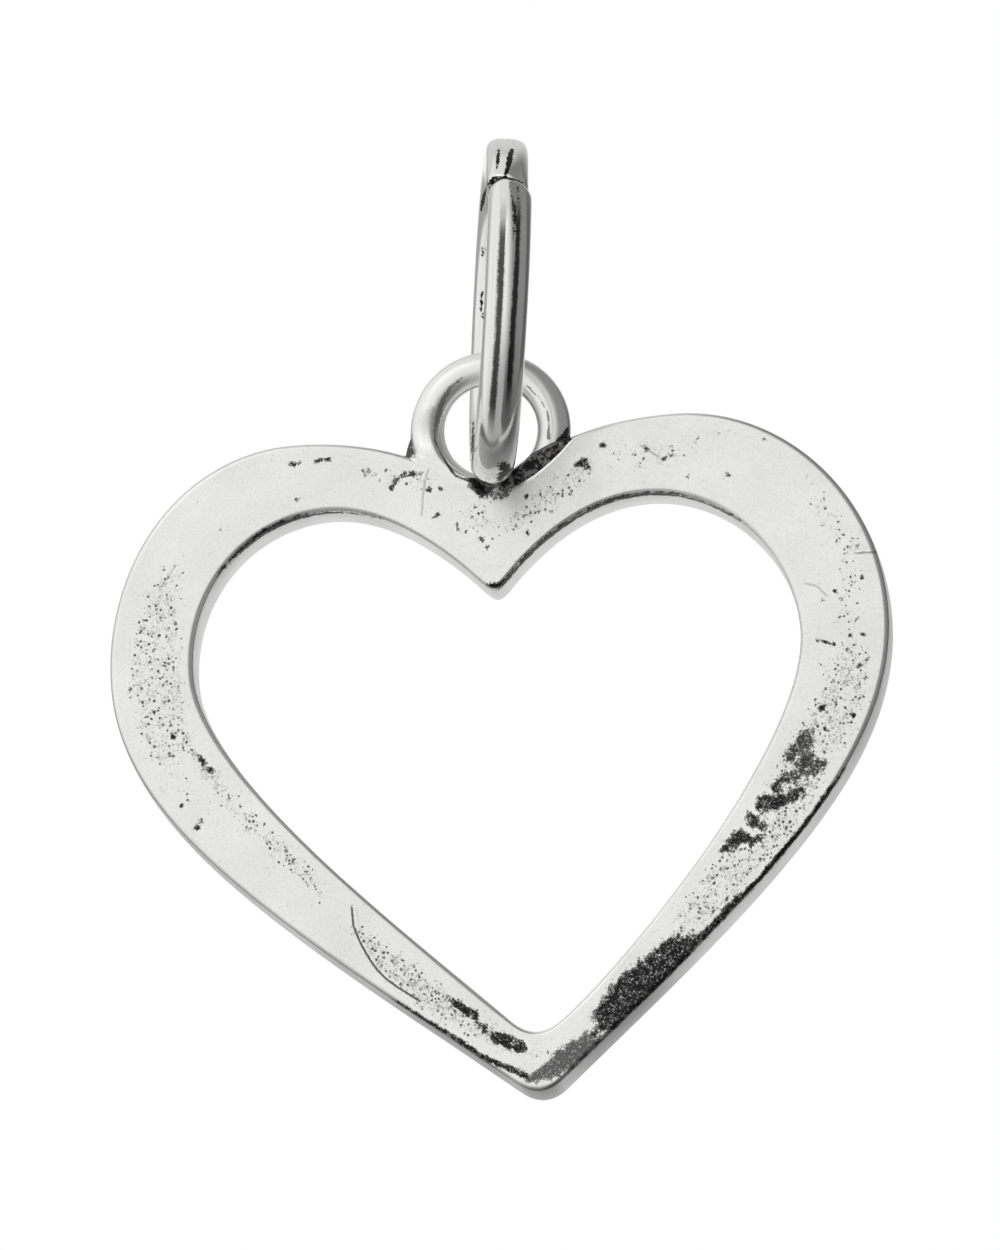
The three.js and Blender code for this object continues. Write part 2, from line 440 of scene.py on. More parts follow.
@dataclass(frozen=True)
class MarksAndShade:
    """Marks of casting and use on one piece, with painted shade and reflections, laid on it from the photo's
    side.
    """

    oxide_and_shade: tuple[OxideAndShadePath, ...] = ()
    dots: tuple[tuple[float, float, float], ...] = ()
    pits: tuple[PitField, ...] = ()
    scratches: tuple[Scratch, ...] = ()
    seen_above: float = 0.03
    base_pits: float = 0.06
    field_soft_px: float = 14.0
    scratch_reach_px: float = 6.0
    scratch_core: float = 1.5
    dot_fill: float = 0.9
    deep_dot_px: float = 2.3
    dot_depth: float = 0.012
    back_share: float = 0.66
    deepest: float = math.inf
    deep_soft: float = 0.15

    def shallow(self, points_mm: np.ndarray, deeper: float = 0.0) -> np.ndarray:
        """Tell the places near the front from those further back than marks reach.

        Args:
            points_mm: Rows of x, y and z.
            deeper: How much further back than usual the marks reach.

        Returns:
            For each place 1 near the front and 0 further back.
        """
        return np.clip((self.deepest + deeper - points_mm[:, 1]) / self.deep_soft, 0.0, 1.0)

    def paint(self, mesh: bpy.types.Mesh, view: PhotoView) -> None:
        """Store the marks on a mesh's vertices and sink the deep ones into it.

        Args:
            mesh: Mesh that gets the marks.
            view: Camera that the marks' places refer to.
        """
        points, normals = points_of(mesh), normals_of(mesh)
        seen = normals @ view.axes()[2] > self.seen_above
        # The unseen back gets the marks of the front, turned round to it and weaker
        turn = np.where(seen, 1.0, -1.0)
        turned = points * np.stack((turn, turn, np.ones(len(points))), axis=1)
        places = view.pixels(turned)
        black = np.full(len(points), -1.0)
        sunk = np.zeros(len(points))
        tone = np.ones(len(points))
        single = [
            OxideAndShadePath((dot,), self.dot_fill, self.dot_depth * (dot[2] > self.deep_dot_px)) for dot in self.dots
        ]
        for mark in (*self.oxide_and_shade, *single):
            inside = np.clip(-reach(places, mark.path)[0] / mark.soft, -1.0, 1.0)
            fill = np.where(seen, mark.fill, (mark.fill + 1.0) * self.back_share - 1.0)
            held = np.minimum(inside, (fill + 1.0) * self.shallow(turned, mark.deeper) - 1.0)
            tone = np.where(held > black, mark.tone, tone)
            black = np.maximum(black, held)
            sunk = np.maximum(sunk, mark.sunk * np.clip(inside * 0.5 + 0.5, 0.0, 1.0))
        pitted = np.full(len(points), self.base_pits)
        for spread in self.pits:
            inside = np.clip(0.5 - reach(places, spread.path)[0] / self.field_soft_px, 0.0, 1.0)
            pitted = np.maximum(pitted, spread.density * inside)
        gap = np.ones(len(points))
        on = np.zeros(len(points))
        for line in self.scratches:
            away, across = reach(places, line.path)
            close = np.clip(self.scratch_core * (1.0 - away / self.scratch_reach_px), 0.0, 1.0) * line.depth
            nearer = (close > on) & seen
            gap = np.where(nearer, across / self.scratch_reach_px, gap)
            on = np.where(nearer, close, on)
        store(mesh, "oxide_and_shade", black)
        store(mesh, "oxide_and_shade_tone", tone)
        store(mesh, "pitting", pitted)
        store(mesh, "scratch_gap", gap)
        store(mesh, "scratch_on", on * self.shallow(turned))
        move_points(mesh, points - normals * (sunk * seen)[:, None])


# The oxide and painted reflection on the heart's inner edge run on down its wall
EDGE_DEEPER = 0.15

FACE_MARKS_AND_SHADE = MarksAndShade(
    oxide_and_shade=(
        # Ragged patches on the right flank, from the top down
        OxideAndShadePath(((806, 738, 8), (799, 755, 13), (808, 766, 12), (822, 764, 6)), 0.4, 0.008, 9.0, 0.95),
        OxideAndShadePath(((798, 780, 6), (788, 779, 8), (778, 786, 7), (798, 790, 6)), 0.16, 0.004, 9.0),
        OxideAndShadePath(((761, 804, 7), (775, 803, 9), (790, 797, 7), (803, 796, 3)), 0.55, 0.008, 8.0),
        OxideAndShadePath(((750, 818, 6), (763, 825, 5)), 0.4, 0.006, 8.0),
        OxideAndShadePath(((722, 851, 3), (733, 842, 7), (742, 836, 8), (752, 841, 6),
                 (762, 838, 3)), 0.55, 0.008, 8.0),
        # Broad patch above the tip and the darker tip itself
        OxideAndShadePath(((697, 940, 5), (679, 948, 15), (657, 970, 19), (630, 992, 19),
                 (609, 1016, 16)), 0.55, 0.01, 9.0),
        OxideAndShadePath(((600, 1030, 7), (592, 1040, 7)), 0.2, 0.0, 8.0),
        OxideAndShadePath(((588, 1042, 10), (574, 1053, 12), (560, 1064, 11), (545, 1073, 8),
                 (530, 1078, 5)), 0.9, 0.006, 8.0, 0.86),
        # Lower right and lower left outer edges: oxide and painted reflection of the dark below
        OxideAndShadePath(((848, 766, 2), (830, 792, 3.5), (806, 826, 4), (779, 856, 3.5), (762, 877, 3), (730, 907, 4),
                 (702, 937, 4.5))),
        OxideAndShadePath(((393, 1001, 2.5), (419, 1016, 2), (454, 1037, 2.5), (483, 1057, 3), (528, 1077, 3.5))),
        # Inner edge over the left lobe, then the right lobe from the cusp out: oxide and painted reflection
        # of the dark below
        OxideAndShadePath(((216, 577, 0.5), (232, 558, 2), (243, 548, 3), (260, 535, 3.6), (279, 525, 3.6),
                 (300, 518, 3.2)), 0.9, deeper=EDGE_DEEPER),
        OxideAndShadePath(((300, 518, 3.2), (330, 513, 2), (361, 514, 1.2), (382, 518, 0.6)), 0.6, deeper=EDGE_DEEPER),
        OxideAndShadePath(((488, 585, 2), (497, 586, 3.6), (508, 580, 3.8), (524, 561, 3.4), (544, 541, 3.4),
                 (564, 526, 3.4)), 0.95, deeper=EDGE_DEEPER),
        OxideAndShadePath(((564, 526, 3.4), (596, 507, 3.2), (621, 498, 3), (647, 494, 2.6), (677, 495, 2),
                 (703, 502, 1.6)), 0.85, deeper=EDGE_DEEPER),
        OxideAndShadePath(((703, 502, 1.6), (725, 512, 2), (741, 521, 0.8)), 0.6, deeper=EDGE_DEEPER),
        # Groove along the eye's right side
        OxideAndShadePath(((570, 434, 2), (563, 439, 4), (555, 446, 5.5), (544, 456, 6)), 0.8, 0.16, 3.0, 0.92),
        OxideAndShadePath(((544, 456, 6), (529, 468, 6.5), (515, 478, 5), (504, 485, 3)), 0.7, 0.14, 3.0, 0.88),
        # Clusters between the crescent and the tip
        OxideAndShadePath(((449, 998, 3), (460, 1006, 4), (474, 1016, 5)), 0.45, 0.012),
        OxideAndShadePath(((478, 1022, 2), (484, 1029, 3.5)), 0.3),
        OxideAndShadePath(((496, 1037, 6), (508, 1042, 7), (522, 1048, 6)), 0.5, 0.015),
        # Cluster by the eye's left shoulder
        OxideAndShadePath(((391, 488, 3.5), (395, 481, 2)), 0.8, 0.015),
        OxideAndShadePath(((398, 478, 2.5), (408, 474, 3), (419, 474, 3)), 0.2, 0.01),
        OxideAndShadePath(((366, 472, 5), (374, 474, 2)), 0.1),
        OxideAndShadePath(((290, 464, 2), (300, 463, 2)), 0.2),
        OxideAndShadePath(((317, 461, 2), (331, 459, 2)), 0.3),
        # Cluster right of the eye
        OxideAndShadePath(((576, 466, 3), (584, 461, 5), (587, 467, 4)), 0.7, 0.015),
        OxideAndShadePath(((603, 445, 3.5),), 0.8, 0.012),
        # Chip and cluster on the left flank
        OxideAndShadePath(((196, 829, 2.5), (202, 821, 2.5)), 1.0, 0.02),
        OxideAndShadePath(((198, 757, 3), (205, 765, 4), (212, 772, 3)), 0.4, 0.01),
        # Rim under the ring: oxide in the crevice, with a painted shadow of the ring
        OxideAndShadePath(((474, 483, 3), (480, 491, 5), (489, 495, 5), (500, 496, 5),
                 (508, 492, 4)), 0.4, 0.0, 5.0, 0.9),
        # Longer nicks in the cleft, on the right lobe and on the right limb
        OxideAndShadePath(((434, 518, 2), (439, 514, 2)), 0.8),
        OxideAndShadePath(((644, 447, 2.5), (649, 451, 1.5)), 0.8),
        OxideAndShadePath(((817, 640, 1.4), (826, 642, 1.6), (834, 644, 2)), 0.8, soft=2.5),
    ),
    dots=(
        # Cleft
        (386, 470, 1.5), (401, 469, 1.5), (412, 483, 1.6), (425, 472, 1.6), (433, 480, 1.5),
        (380, 480, 1.4), (429, 489, 3), (440, 489, 2), (458, 523, 1.5), (458, 529, 2), (467, 531, 2.5),
        (482, 539, 3.2), (487, 547, 2), (528, 532, 3), (526, 496, 2.2), (540, 495, 2), (524, 516, 2),
        (539, 512, 2), (551, 512, 2.2), (571, 493, 2),
        # Right lobe
        (672, 446, 3), (672, 455, 3), (664, 459, 2), (698, 438, 2), (719, 434, 1.6), (729, 475, 2.8),
        (688, 476, 2.2), (765, 440, 2.2), (807, 477, 1.6), (813, 484, 1.4), (825, 497, 1.6), (823, 525, 2),
        (841, 542, 2.4), (853, 539, 1.8), (857, 546, 1.8), (842, 572, 1.8), (847, 577, 1.6), (862, 578, 2),
        (835, 591, 2.2), (840, 598, 1.8), (823, 600, 2),
        # Right limb
        (856, 619, 2.2), (850, 635, 2.6), (863, 635, 2), (821, 665, 1.8), (859, 666, 2.2), (868, 659, 1.8),
        (834, 679, 2), (860, 683, 2.6), (867, 677, 2), (822, 708, 3.5), (836, 704, 3), (854, 715, 2.6),
        (845, 733, 2), (825, 729, 1.8),
        # Left limb
        (145, 621, 2), (130, 689, 2.2), (130, 697, 2.2), (172, 737, 3), (154, 712, 2.4), (165, 718, 2),
        (182, 806, 2.4), (294, 860, 1.8), (306, 872, 2.2), (297, 500, 1.8), (220, 531, 1.8),
    ),
    pits=(
        PitField(((170, 575, 12), (158, 620, 22), (155, 665, 26), (160, 710, 26), (166, 745, 22)), 0.62),
        PitField(((178, 690, 6), (180, 715, 6), (188, 745, 6), (205, 768, 8), (230, 800, 8)), 0.8),
        PitField(((230, 800, 8), (257, 829, 10), (289, 858, 10), (322, 894, 9)), 0.66),
        PitField(((175, 780, 18), (200, 800, 14)), 0.3),
        PitField(((358, 930, 5), (383, 958, 12), (408, 978, 16), (440, 1003, 15), (475, 1025, 13),
                  (512, 1046, 10)), 0.78),
        PitField(((530, 1052, 8), (545, 1050, 6)), 0.5),
        PitField(((476, 512, 14), (487, 530, 11)), 0.55),
        PitField(((512, 522, 9), (535, 508, 13), (560, 487, 13), (580, 473, 9)), 0.62),
        PitField(((395, 478, 9), (430, 482, 9)), 0.5),
        PitField(((620, 455, 14), (690, 450, 14)), 0.4),
        PitField(((815, 500, 12), (850, 545, 12), (848, 620, 14)), 0.4),
        PitField(((852, 655, 16), (845, 690, 24), (832, 722, 26)), 0.64),
        PitField(((815, 740, 24), (790, 800, 24), (750, 850, 22), (715, 892, 20), (690, 925, 16)), 0.7),
    ),
    scratches=(
        Scratch(((352, 910), (353.5, 926), (360, 942), (366.5, 954), (373.3, 964.8), (379.5, 972.4)), 0.85),
        Scratch(((379.5, 972.4), (386.6, 979.2), (394.8, 985.3), (405, 992), (418, 1000)), 0.85),
        Scratch(((429, 468), (425, 481), (423, 497), (422, 512)), 0.3),
        Scratch(((859, 553), (877, 552)), 0.5),
        Scratch(((174, 568), (161, 588)), 0.25),
        Scratch(((808, 584), (817, 586), (825, 594)), 0.3),
        Scratch(((643, 447), (656, 455)), 0.4),
    ),
    deepest=-0.5,
)

EYE_MARKS_AND_SHADE = MarksAndShade(
    oxide_and_shade=(
        # Painted shade in the shoulder notch on the left, the sooty groove on the right, and the rim under
        # the ring, which is oxide with a painted shadow of the ring
        OxideAndShadePath(((410, 436, 1.5), (409, 446, 4), (407, 453, 6), (402, 457, 3)), 0.9, 0.0, 2.5, 0.9),
        OxideAndShadePath(((568, 428, 1), (564, 437, 3.5), (554, 449, 4.5), (541, 461, 4.5)), 0.9, 0.0, 2.5, 0.92),
        OxideAndShadePath(((541, 461, 4.5), (526, 470, 4), (513, 477, 3)), 0.6, 0.0, 3.0, 0.88),
        # Dark line round the inner rim
        OxideAndShadePath(((462, 378, 1), (450, 388, 2), (443, 400, 3), (438, 415, 3),
                 (436, 430, 2.5)), 0.9, 0.0, 2.0, 0.6),
        OxideAndShadePath(((436, 430, 2.5), (436, 440, 1.8), (441, 451, 1)), 0.9, 0.0, 2.0, 0.6),
        OxideAndShadePath(((435, 432, 0.8), (435, 441, 1.2), (440, 452, 1), (446, 462, 1.2)), 0.9, 0.0, 1.2, 0.85),
        OxideAndShadePath(((446, 462, 1.2), (451, 470, 1.4), (456, 476, 1.2), (464, 479, 1.5),
                 (474, 481, 3)), 0.9, 0.0, 1.2, 0.92),
        OxideAndShadePath(((527, 386, 0.8), (541, 399, 1), (548, 414, 1), (549, 428, 1.2),
                 (548, 438, 1.8)), 0.9, 0.0, 1.2, 0.7),
        OxideAndShadePath(((475, 482, 4), (480, 489, 5), (490, 492, 6), (502, 492, 6),
                 (510, 488, 4)), 0.7, 0.0, 4.0, 0.9),
    ),
    pits=(
        PitField(((440, 410, 5), (443, 445, 5), (460, 472, 5)), 0.3),
        PitField(((545, 400, 5), (550, 440, 8)), 0.45),
    ),
    base_pits=0.03,
    back_share=0.0,
)

RING_MARKS_AND_SHADE = MarksAndShade(
    oxide_and_shade=(
        # Seam of the cut with a painted shadow of its gap, and two dark bands above it that are painted
        # reflections
        OxideAndShadePath(((481, 211, 0.6), (482.5, 203, 1.8), (485, 192, 1.2), (488, 182, 0.4),
                 (493, 178, 0.6)), soft=1.2),
        OxideAndShadePath(((493, 178, 1.2), (505, 177, 1.2), (510, 179, 1.2), (516, 180, 1),
                 (523, 183, 0.5)), soft=1.2),
        OxideAndShadePath(((499, 151, 1.2), (498, 160, 1.8), (497, 169, 0.8)), 0.9, soft=1.6),
        OxideAndShadePath(((512, 150, 2), (510, 158, 3), (508, 168, 2.6), (506, 175, 1.6)), 0.9, soft=2.0),
        # Marks of the pliers down the left side, and the dark lower end
        OxideAndShadePath(((484, 247, 1), (482, 256, 0.8)), 0.8),
        OxideAndShadePath(((482, 293, 1), (481, 305, 1.2), (483, 318, 0.8)), 0.7),
        OxideAndShadePath(((473, 420, 1), (473, 446, 1.8), (472, 460, 1.2)), 0.7),
        OxideAndShadePath(((503, 466, 5), (508, 471, 5), (500, 477, 4)), 0.5, 0.0, 6.0),
        # Painted reflections: two dark bands under the cut
        OxideAndShadePath(((509, 183, 0.6), (513, 200, 1), (514, 214, 1.5), (513, 240, 0.6)), 0.7, soft=1.6, tone=0.9),
        OxideAndShadePath(((518, 188, 0.6), (517, 212, 1), (515, 232, 0.5)), 0.6, soft=2.0),
    ),
    base_pits=0.02,
    back_share=0.0,
)


@dataclass(frozen=True)
class CastSilver:
    """Sterling silver, cast and hand polished, blackened and rubbed back.

    It gives a bright, slightly satin grey with soft reflections, black left in pits and low spots, fine
    polishing lines, and the painted shade and painted reflections that its piece stores.
    """

    name: str = "cast_silver_rubbed_back"
    bright: str = "#F4F4F3"
    cloudy: str = "#E1E1E0"
    haze: str = "#8E8E8D"
    oxide_and_shade_colour: str = "#292828"
    roughness: float = 0.32
    roughness_swing: float = 0.12
    oxide_and_shade_roughness: float = 0.5
    cloud_mm: float = 1.6
    cloud_grains: float = 0.5
    ragged_mm: float = 0.16
    ragged_gain: float = 2.4
    speckle_mm: float = 0.05
    speckle_gain: float = 2.6
    torn_speckle: float = 0.6
    oxide_and_shade_edge: tuple[float, float] = (-0.15, 0.35)
    rubbed_edge: tuple[float, float] = (0.53, 0.72)
    rubbed_left: float = 0.45
    # Coarse and fine pits: spacing in millimetres, then growth and greatest radius as shares of it
    pit_kinds: tuple[tuple[float, float, float], ...] = ((0.24, 0.3, 0.16), (0.085, 1.2, 0.38))
    pit_edge: tuple[float, float] = (-0.06, 0.05)
    pit_tint: tuple[float, float] = (0.65, 0.25)
    pit_shake_mm: float = 0.12
    scratch_edge: tuple[float, float] = (0.256, 0.096)
    scratch_wander: float = 0.1
    bloom_pits: float = 0.9
    bloom_edge: tuple[float, float] = (0.5, 1.3)
    bloom_most: float = 0.7
    polish_mm: float = 0.05
    polish_height: float = 0.25
    relief_mm: float = 0.012
    relief_strength: float = 0.5

    def make(self) -> bpy.types.Material:
        """Build the material from textures and from the marks that its piece stores.

        Returns:
            The finished material.
        """
        material = blank_material(self.name)
        tree = material.node_tree
        place = add(tree, "TexCoord").outputs["Object"]
        # Dark paths that the piece stores are oxide, and some are painted shade and painted reflections
        oxide_and_shade, oxide_and_shade_tone, pitting, gap, on, filed = (
            add(tree, "Attribute", attribute_name=name).outputs["Fac"]
            for name in ("oxide_and_shade", "oxide_and_shade_tone", "pitting", "scratch_gap", "scratch_on", "filed")
        )
        ragged = add(tree, "TexNoise", place, Scale=per_mm(self.ragged_mm), Detail=4.0, Roughness=0.65)
        speckle = add(tree, "TexNoise", place, Scale=per_mm(self.speckle_mm), Detail=2.0, Roughness=0.6)
        rough_edge, grains = (
            add(tree, "Math", noise, gain, -gain / 2, operation="MULTIPLY_ADD")
            for noise, gain in ((ragged, self.ragged_gain), (speckle, self.speckle_gain))
        )
        broken = add(tree, "Math", rough_edge, grains, operation="ADD")
        torn = add(tree, "Math", grains, self.torn_speckle, rough_edge, operation="MULTIPLY_ADD")
        level = add(tree, "Math", oxide_and_shade, torn, operation="ADD")
        cover = add(tree, "MapRange", level, *self.oxide_and_shade_edge, 0.0, oxide_and_shade_tone, **SMOOTH)
        bare = add(tree, "MapRange", speckle, *self.rubbed_edge, 1.0, self.rubbed_left, **SMOOTH)
        black = add(tree, "Math", cover, bare, operation="MULTIPLY")
        shake = add(tree, "VectorMath", ragged.outputs["Color"], self.pit_shake_mm * MM, operation="SCALE")
        shaken = add(tree, "VectorMath", place, shake, operation="ADD")
        pit_masks = []
        for size_mm, growth, widest in self.pit_kinds:
            cells = add(tree, "TexVoronoi", shaken, Scale=per_mm(size_mm))
            lot = add(tree, "SeparateColor", cells.outputs["Color"]).outputs
            chance = add(tree, "Math", pitting, lot["Red"], operation="SUBTRACT")
            wide = add(tree, "Math", chance, growth, operation="MULTIPLY")
            held = add(tree, "Math", wide, widest, operation="MINIMUM")
            depth = add(tree, "Math", held, cells.outputs["Distance"], operation="SUBTRACT")
            pit = add(tree, "MapRange", depth, *self.pit_edge, **SMOOTH)
            tint = add(tree, "Math", lot["Green"], *self.pit_tint, operation="MULTIPLY_ADD")
            pit_masks.append(add(tree, "Math", pit, tint, operation="MULTIPLY"))
        pits = add(tree, "Math", *pit_masks, operation="MAXIMUM")
        wander = add(tree, "Math", grains, self.scratch_wander, gap, operation="MULTIPLY_ADD")
        beside = add(tree, "Math", wander, operation="ABSOLUTE")
        line = add(tree, "MapRange", beside, *self.scratch_edge, **SMOOTH)
        scratch = add(tree, "Math", line, on, operation="MULTIPLY")
        marks = add(tree, "Math", pits, scratch, operation="MAXIMUM")
        dark = add(tree, "Math", marks, black, operation="MAXIMUM")
        clouds = add(tree, "TexNoise", place, Scale=per_mm(self.cloud_mm), Detail=5.0, Roughness=0.6)
        dull = add(tree, "Math", grains, self.cloud_grains, clouds, operation="MULTIPLY_ADD", use_clamp=True)
        tone = add(tree, "Mix", dull, linear(self.bright), linear(self.cloudy), data_type="RGBA")
        # Pitted stretches keep a grey bloom between their pits
        bloom_level = add(tree, "Math", pitting, self.bloom_pits, broken, operation="MULTIPLY_ADD")
        bloom = add(tree, "MapRange", bloom_level, *self.bloom_edge, 0.0, self.bloom_most, **SMOOTH)
        # The outer walls are greyed as well, more the further they face down
        greyed = add(tree, "Math", bloom, filed, operation="MAXIMUM")
        hazy = add(tree, "Mix", greyed, tone, linear(self.haze), data_type="RGBA")
        colour = add(tree, "Mix", dark, hazy, linear(self.oxide_and_shade_colour), data_type="RGBA")
        satin = add(tree, "Math", clouds, self.roughness_swing, self.roughness - self.roughness_swing / 2,
                    operation="MULTIPLY_ADD")
        rough = add(tree, "Mix", dark, satin, self.oxide_and_shade_roughness)
        polish = add(tree, "TexNoise", place, Scale=per_mm(self.polish_mm), Detail=3.0, Roughness=0.55)
        grain = add(tree, "Math", polish, self.polish_height, operation="MULTIPLY")
        height = add(tree, "Math", grain, dark, operation="SUBTRACT")
        end_silver(tree, colour, rough, height, self.relief_mm, self.relief_strength)
        return material


@dataclass(frozen=True)
class PaintedReflectionBand:
    """Painted reflection, a dark band along a wire's outer side: places across and along it in millimetres,
    and depth.
    """

    side: float
    half: float
    start: float
    end: float
    depth: float


# Painted reflections: the two dark bands down the ring's wire
RING_REFLECTION_BANDS = (
    PaintedReflectionBand(side=-0.17, half=0.088, start=0.5, end=6.1, depth=0.92),
    PaintedReflectionBand(side=0.18, half=0.068, start=0.2, end=5.5, depth=0.92),
)


@dataclass(frozen=True)
class DrawnSilver:
    """Silver wire, drawn through a plate, bent and polished.

    It gives a bright mirror with faint lines along the wire, black in the marks of the pliers, and painted
    reflections as dark bands along the wire.
    """

    name: str = "drawn_silver_wire"
    bright: str = "#F3F3F2"
    dull: str = "#D6D6D5"
    oxide_and_shade_colour: str = "#1A1919"
    roughness: float = 0.12
    roughness_swing: float = 0.1
    oxide_and_shade_roughness: float = 0.45
    line_mm: float = 0.07
    line_length_mm: float = 3.0
    line_height: float = 0.5
    ragged_mm: float = 0.16
    ragged_gain: float = 2.0
    speckle_mm: float = 0.06
    speckle_gain: float = 1.8
    oxide_and_shade_edge: tuple[float, float] = (-0.15, 0.2)
    pit_mm: float = 0.2
    pit_growth: float = 0.5
    pit_edge: tuple[float, float] = (-0.06, 0.04)
    relief_mm: float = 0.008
    relief_strength: float = 0.2
    reflection_bands: tuple[PaintedReflectionBand, ...] = ()
    reflection_outer: tuple[float, float] = (0.0, 0.25)
    reflection_drift: float = 0.12
    reflection_torn: float = 0.025
    reflection_edge: tuple[float, float] = (1.2, 0.5)
    reflection_taper: float = 0.6

    def make(self) -> bpy.types.Material:
        """Build the material from textures and from the marks that its piece stores.

        Returns:
            The finished material.
        """
        material = blank_material(self.name)
        tree = material.node_tree
        place = add(tree, "TexCoord").outputs["Object"]
        # Dark paths that the piece stores are oxide, and some are painted shade and painted reflections
        oxide_and_shade, oxide_and_shade_tone, pitting = (
            add(tree, "Attribute", attribute_name=name).outputs["Fac"]
            for name in ("oxide_and_shade", "oxide_and_shade_tone", "pitting")
        )
        wire = add(tree, "Attribute", attribute_name="wire_place").outputs["Vector"]
        stretch = add(tree, "Mapping", wire,
                      Scale=(1.0 / self.line_length_mm, 1.0 / self.line_mm, 1.0 / self.line_mm))
        lines = add(tree, "TexNoise", stretch, Scale=1.0, Detail=3.0, Roughness=0.6)
        ragged = add(tree, "TexNoise", place, Scale=per_mm(self.ragged_mm), Detail=4.0, Roughness=0.65)
        speckle = add(tree, "TexNoise", place, Scale=per_mm(self.speckle_mm), Detail=2.0, Roughness=0.6)
        rough_edge, grains = (
            add(tree, "Math", noise, gain, -gain / 2, operation="MULTIPLY_ADD")
            for noise, gain in ((ragged, self.ragged_gain), (speckle, self.speckle_gain))
        )
        broken = add(tree, "Math", rough_edge, grains, operation="ADD")
        level = add(tree, "Math", oxide_and_shade, broken, operation="ADD")
        black = add(tree, "MapRange", level, *self.oxide_and_shade_edge, 0.0, oxide_and_shade_tone, **SMOOTH)
        cells = add(tree, "TexVoronoi", place, Scale=per_mm(self.pit_mm))
        lot = add(tree, "SeparateColor", cells.outputs["Color"])
        chance = add(tree, "Math", pitting, lot.outputs["Red"], operation="SUBTRACT")
        wide = add(tree, "Math", chance, self.pit_growth, operation="MULTIPLY")
        depth = add(tree, "Math", wide, cells.outputs["Distance"], operation="SUBTRACT")
        pits = add(tree, "MapRange", depth, *self.pit_edge, **SMOOTH)
        dark = add(tree, "Math", pits, black, operation="MAXIMUM")
        # Painted reflections: dark bands along the outer side of the wire
        spread = add(tree, "SeparateXYZ", wire).outputs
        outer = add(tree, "MapRange", spread["Y"], *self.reflection_outer, **SMOOTH)
        oxide_and_reflection = dark
        for mark in self.reflection_bands:
            off = add(tree, "Math", spread["Z"], mark.side + self.reflection_drift / 2, operation="SUBTRACT")
            drift = add(tree, "Math", lines, self.reflection_drift, off, operation="MULTIPLY_ADD")
            torn = add(tree, "Math", broken, self.reflection_torn, drift, operation="MULTIPLY_ADD")
            beside = add(tree, "Math", torn, operation="ABSOLUTE")
            edge = [mark.half * share for share in self.reflection_edge]
            reflection = add(tree, "MapRange", beside, *edge, 0.0, mark.depth, **SMOOTH)
            half_long = (mark.end - mark.start) / 2
            from_middle = add(tree, "Math", spread["X"], mark.start + half_long, operation="SUBTRACT")
            along = add(tree, "Math", from_middle, operation="ABSOLUTE")
            ends = add(tree, "MapRange", along, half_long, half_long * self.reflection_taper, **SMOOTH)
            held = add(tree, "Math", reflection, ends, operation="MULTIPLY")
            kept = add(tree, "Math", held, outer, operation="MULTIPLY")
            oxide_and_reflection = add(tree, "Math", oxide_and_reflection, kept, operation="MAXIMUM")
        tone = add(tree, "Mix", lines, linear(self.bright), linear(self.dull), data_type="RGBA")
        colour = add(tree, "Mix", oxide_and_reflection, tone, linear(self.oxide_and_shade_colour), data_type="RGBA")
        satin = add(tree, "Math", lines, self.roughness_swing, self.roughness - self.roughness_swing / 2,
                    operation="MULTIPLY_ADD")
        rough = add(tree, "Mix", dark, satin, self.oxide_and_shade_roughness)
        grain = add(tree, "Math", lines, self.line_height, operation="MULTIPLY")
        height = add(tree, "Math", grain, dark, operation="SUBTRACT")
        end_silver(tree, colour, rough, height, self.relief_mm, self.relief_strength)
        return material


@dataclass(frozen=True)
class SilverSolder:
    """Silver solder, run in with a flame and only partly polished.

    It gives a lumpy, mottled skin between bright silver and black flame scale.
    """

    name: str
    bright: str
    scale: str
    scale_share: float
    scale_edge: tuple[float, float] = (0.92, 1.08)
    roughness: float = 0.34
    scale_roughness: float = 0.2
    lump_mm: float = 0.13
    relief_mm: float = 0.03
    relief_strength: float = 0.6

    def make(self) -> bpy.types.Material:
        """Build the material from its textures.

        Returns:
            The finished material.
        """
        material = blank_material(self.name)
        tree = material.node_tree
        place = add(tree, "TexCoord").outputs["Object"]
        lumps = add(tree, "TexNoise", place, Scale=per_mm(self.lump_mm), Detail=4.0, Roughness=0.62)
        edge = [level - self.scale_share for level in self.scale_edge]
        black = add(tree, "MapRange", lumps, *edge, **SMOOTH)
        colour = add(tree, "Mix", black, linear(self.bright), linear(self.scale), data_type="RGBA")
        rough = add(tree, "Math", black, self.scale_roughness, self.roughness, operation="MULTIPLY_ADD")
        end_silver(tree, colour, rough, lumps, self.relief_mm, self.relief_strength)
        return material


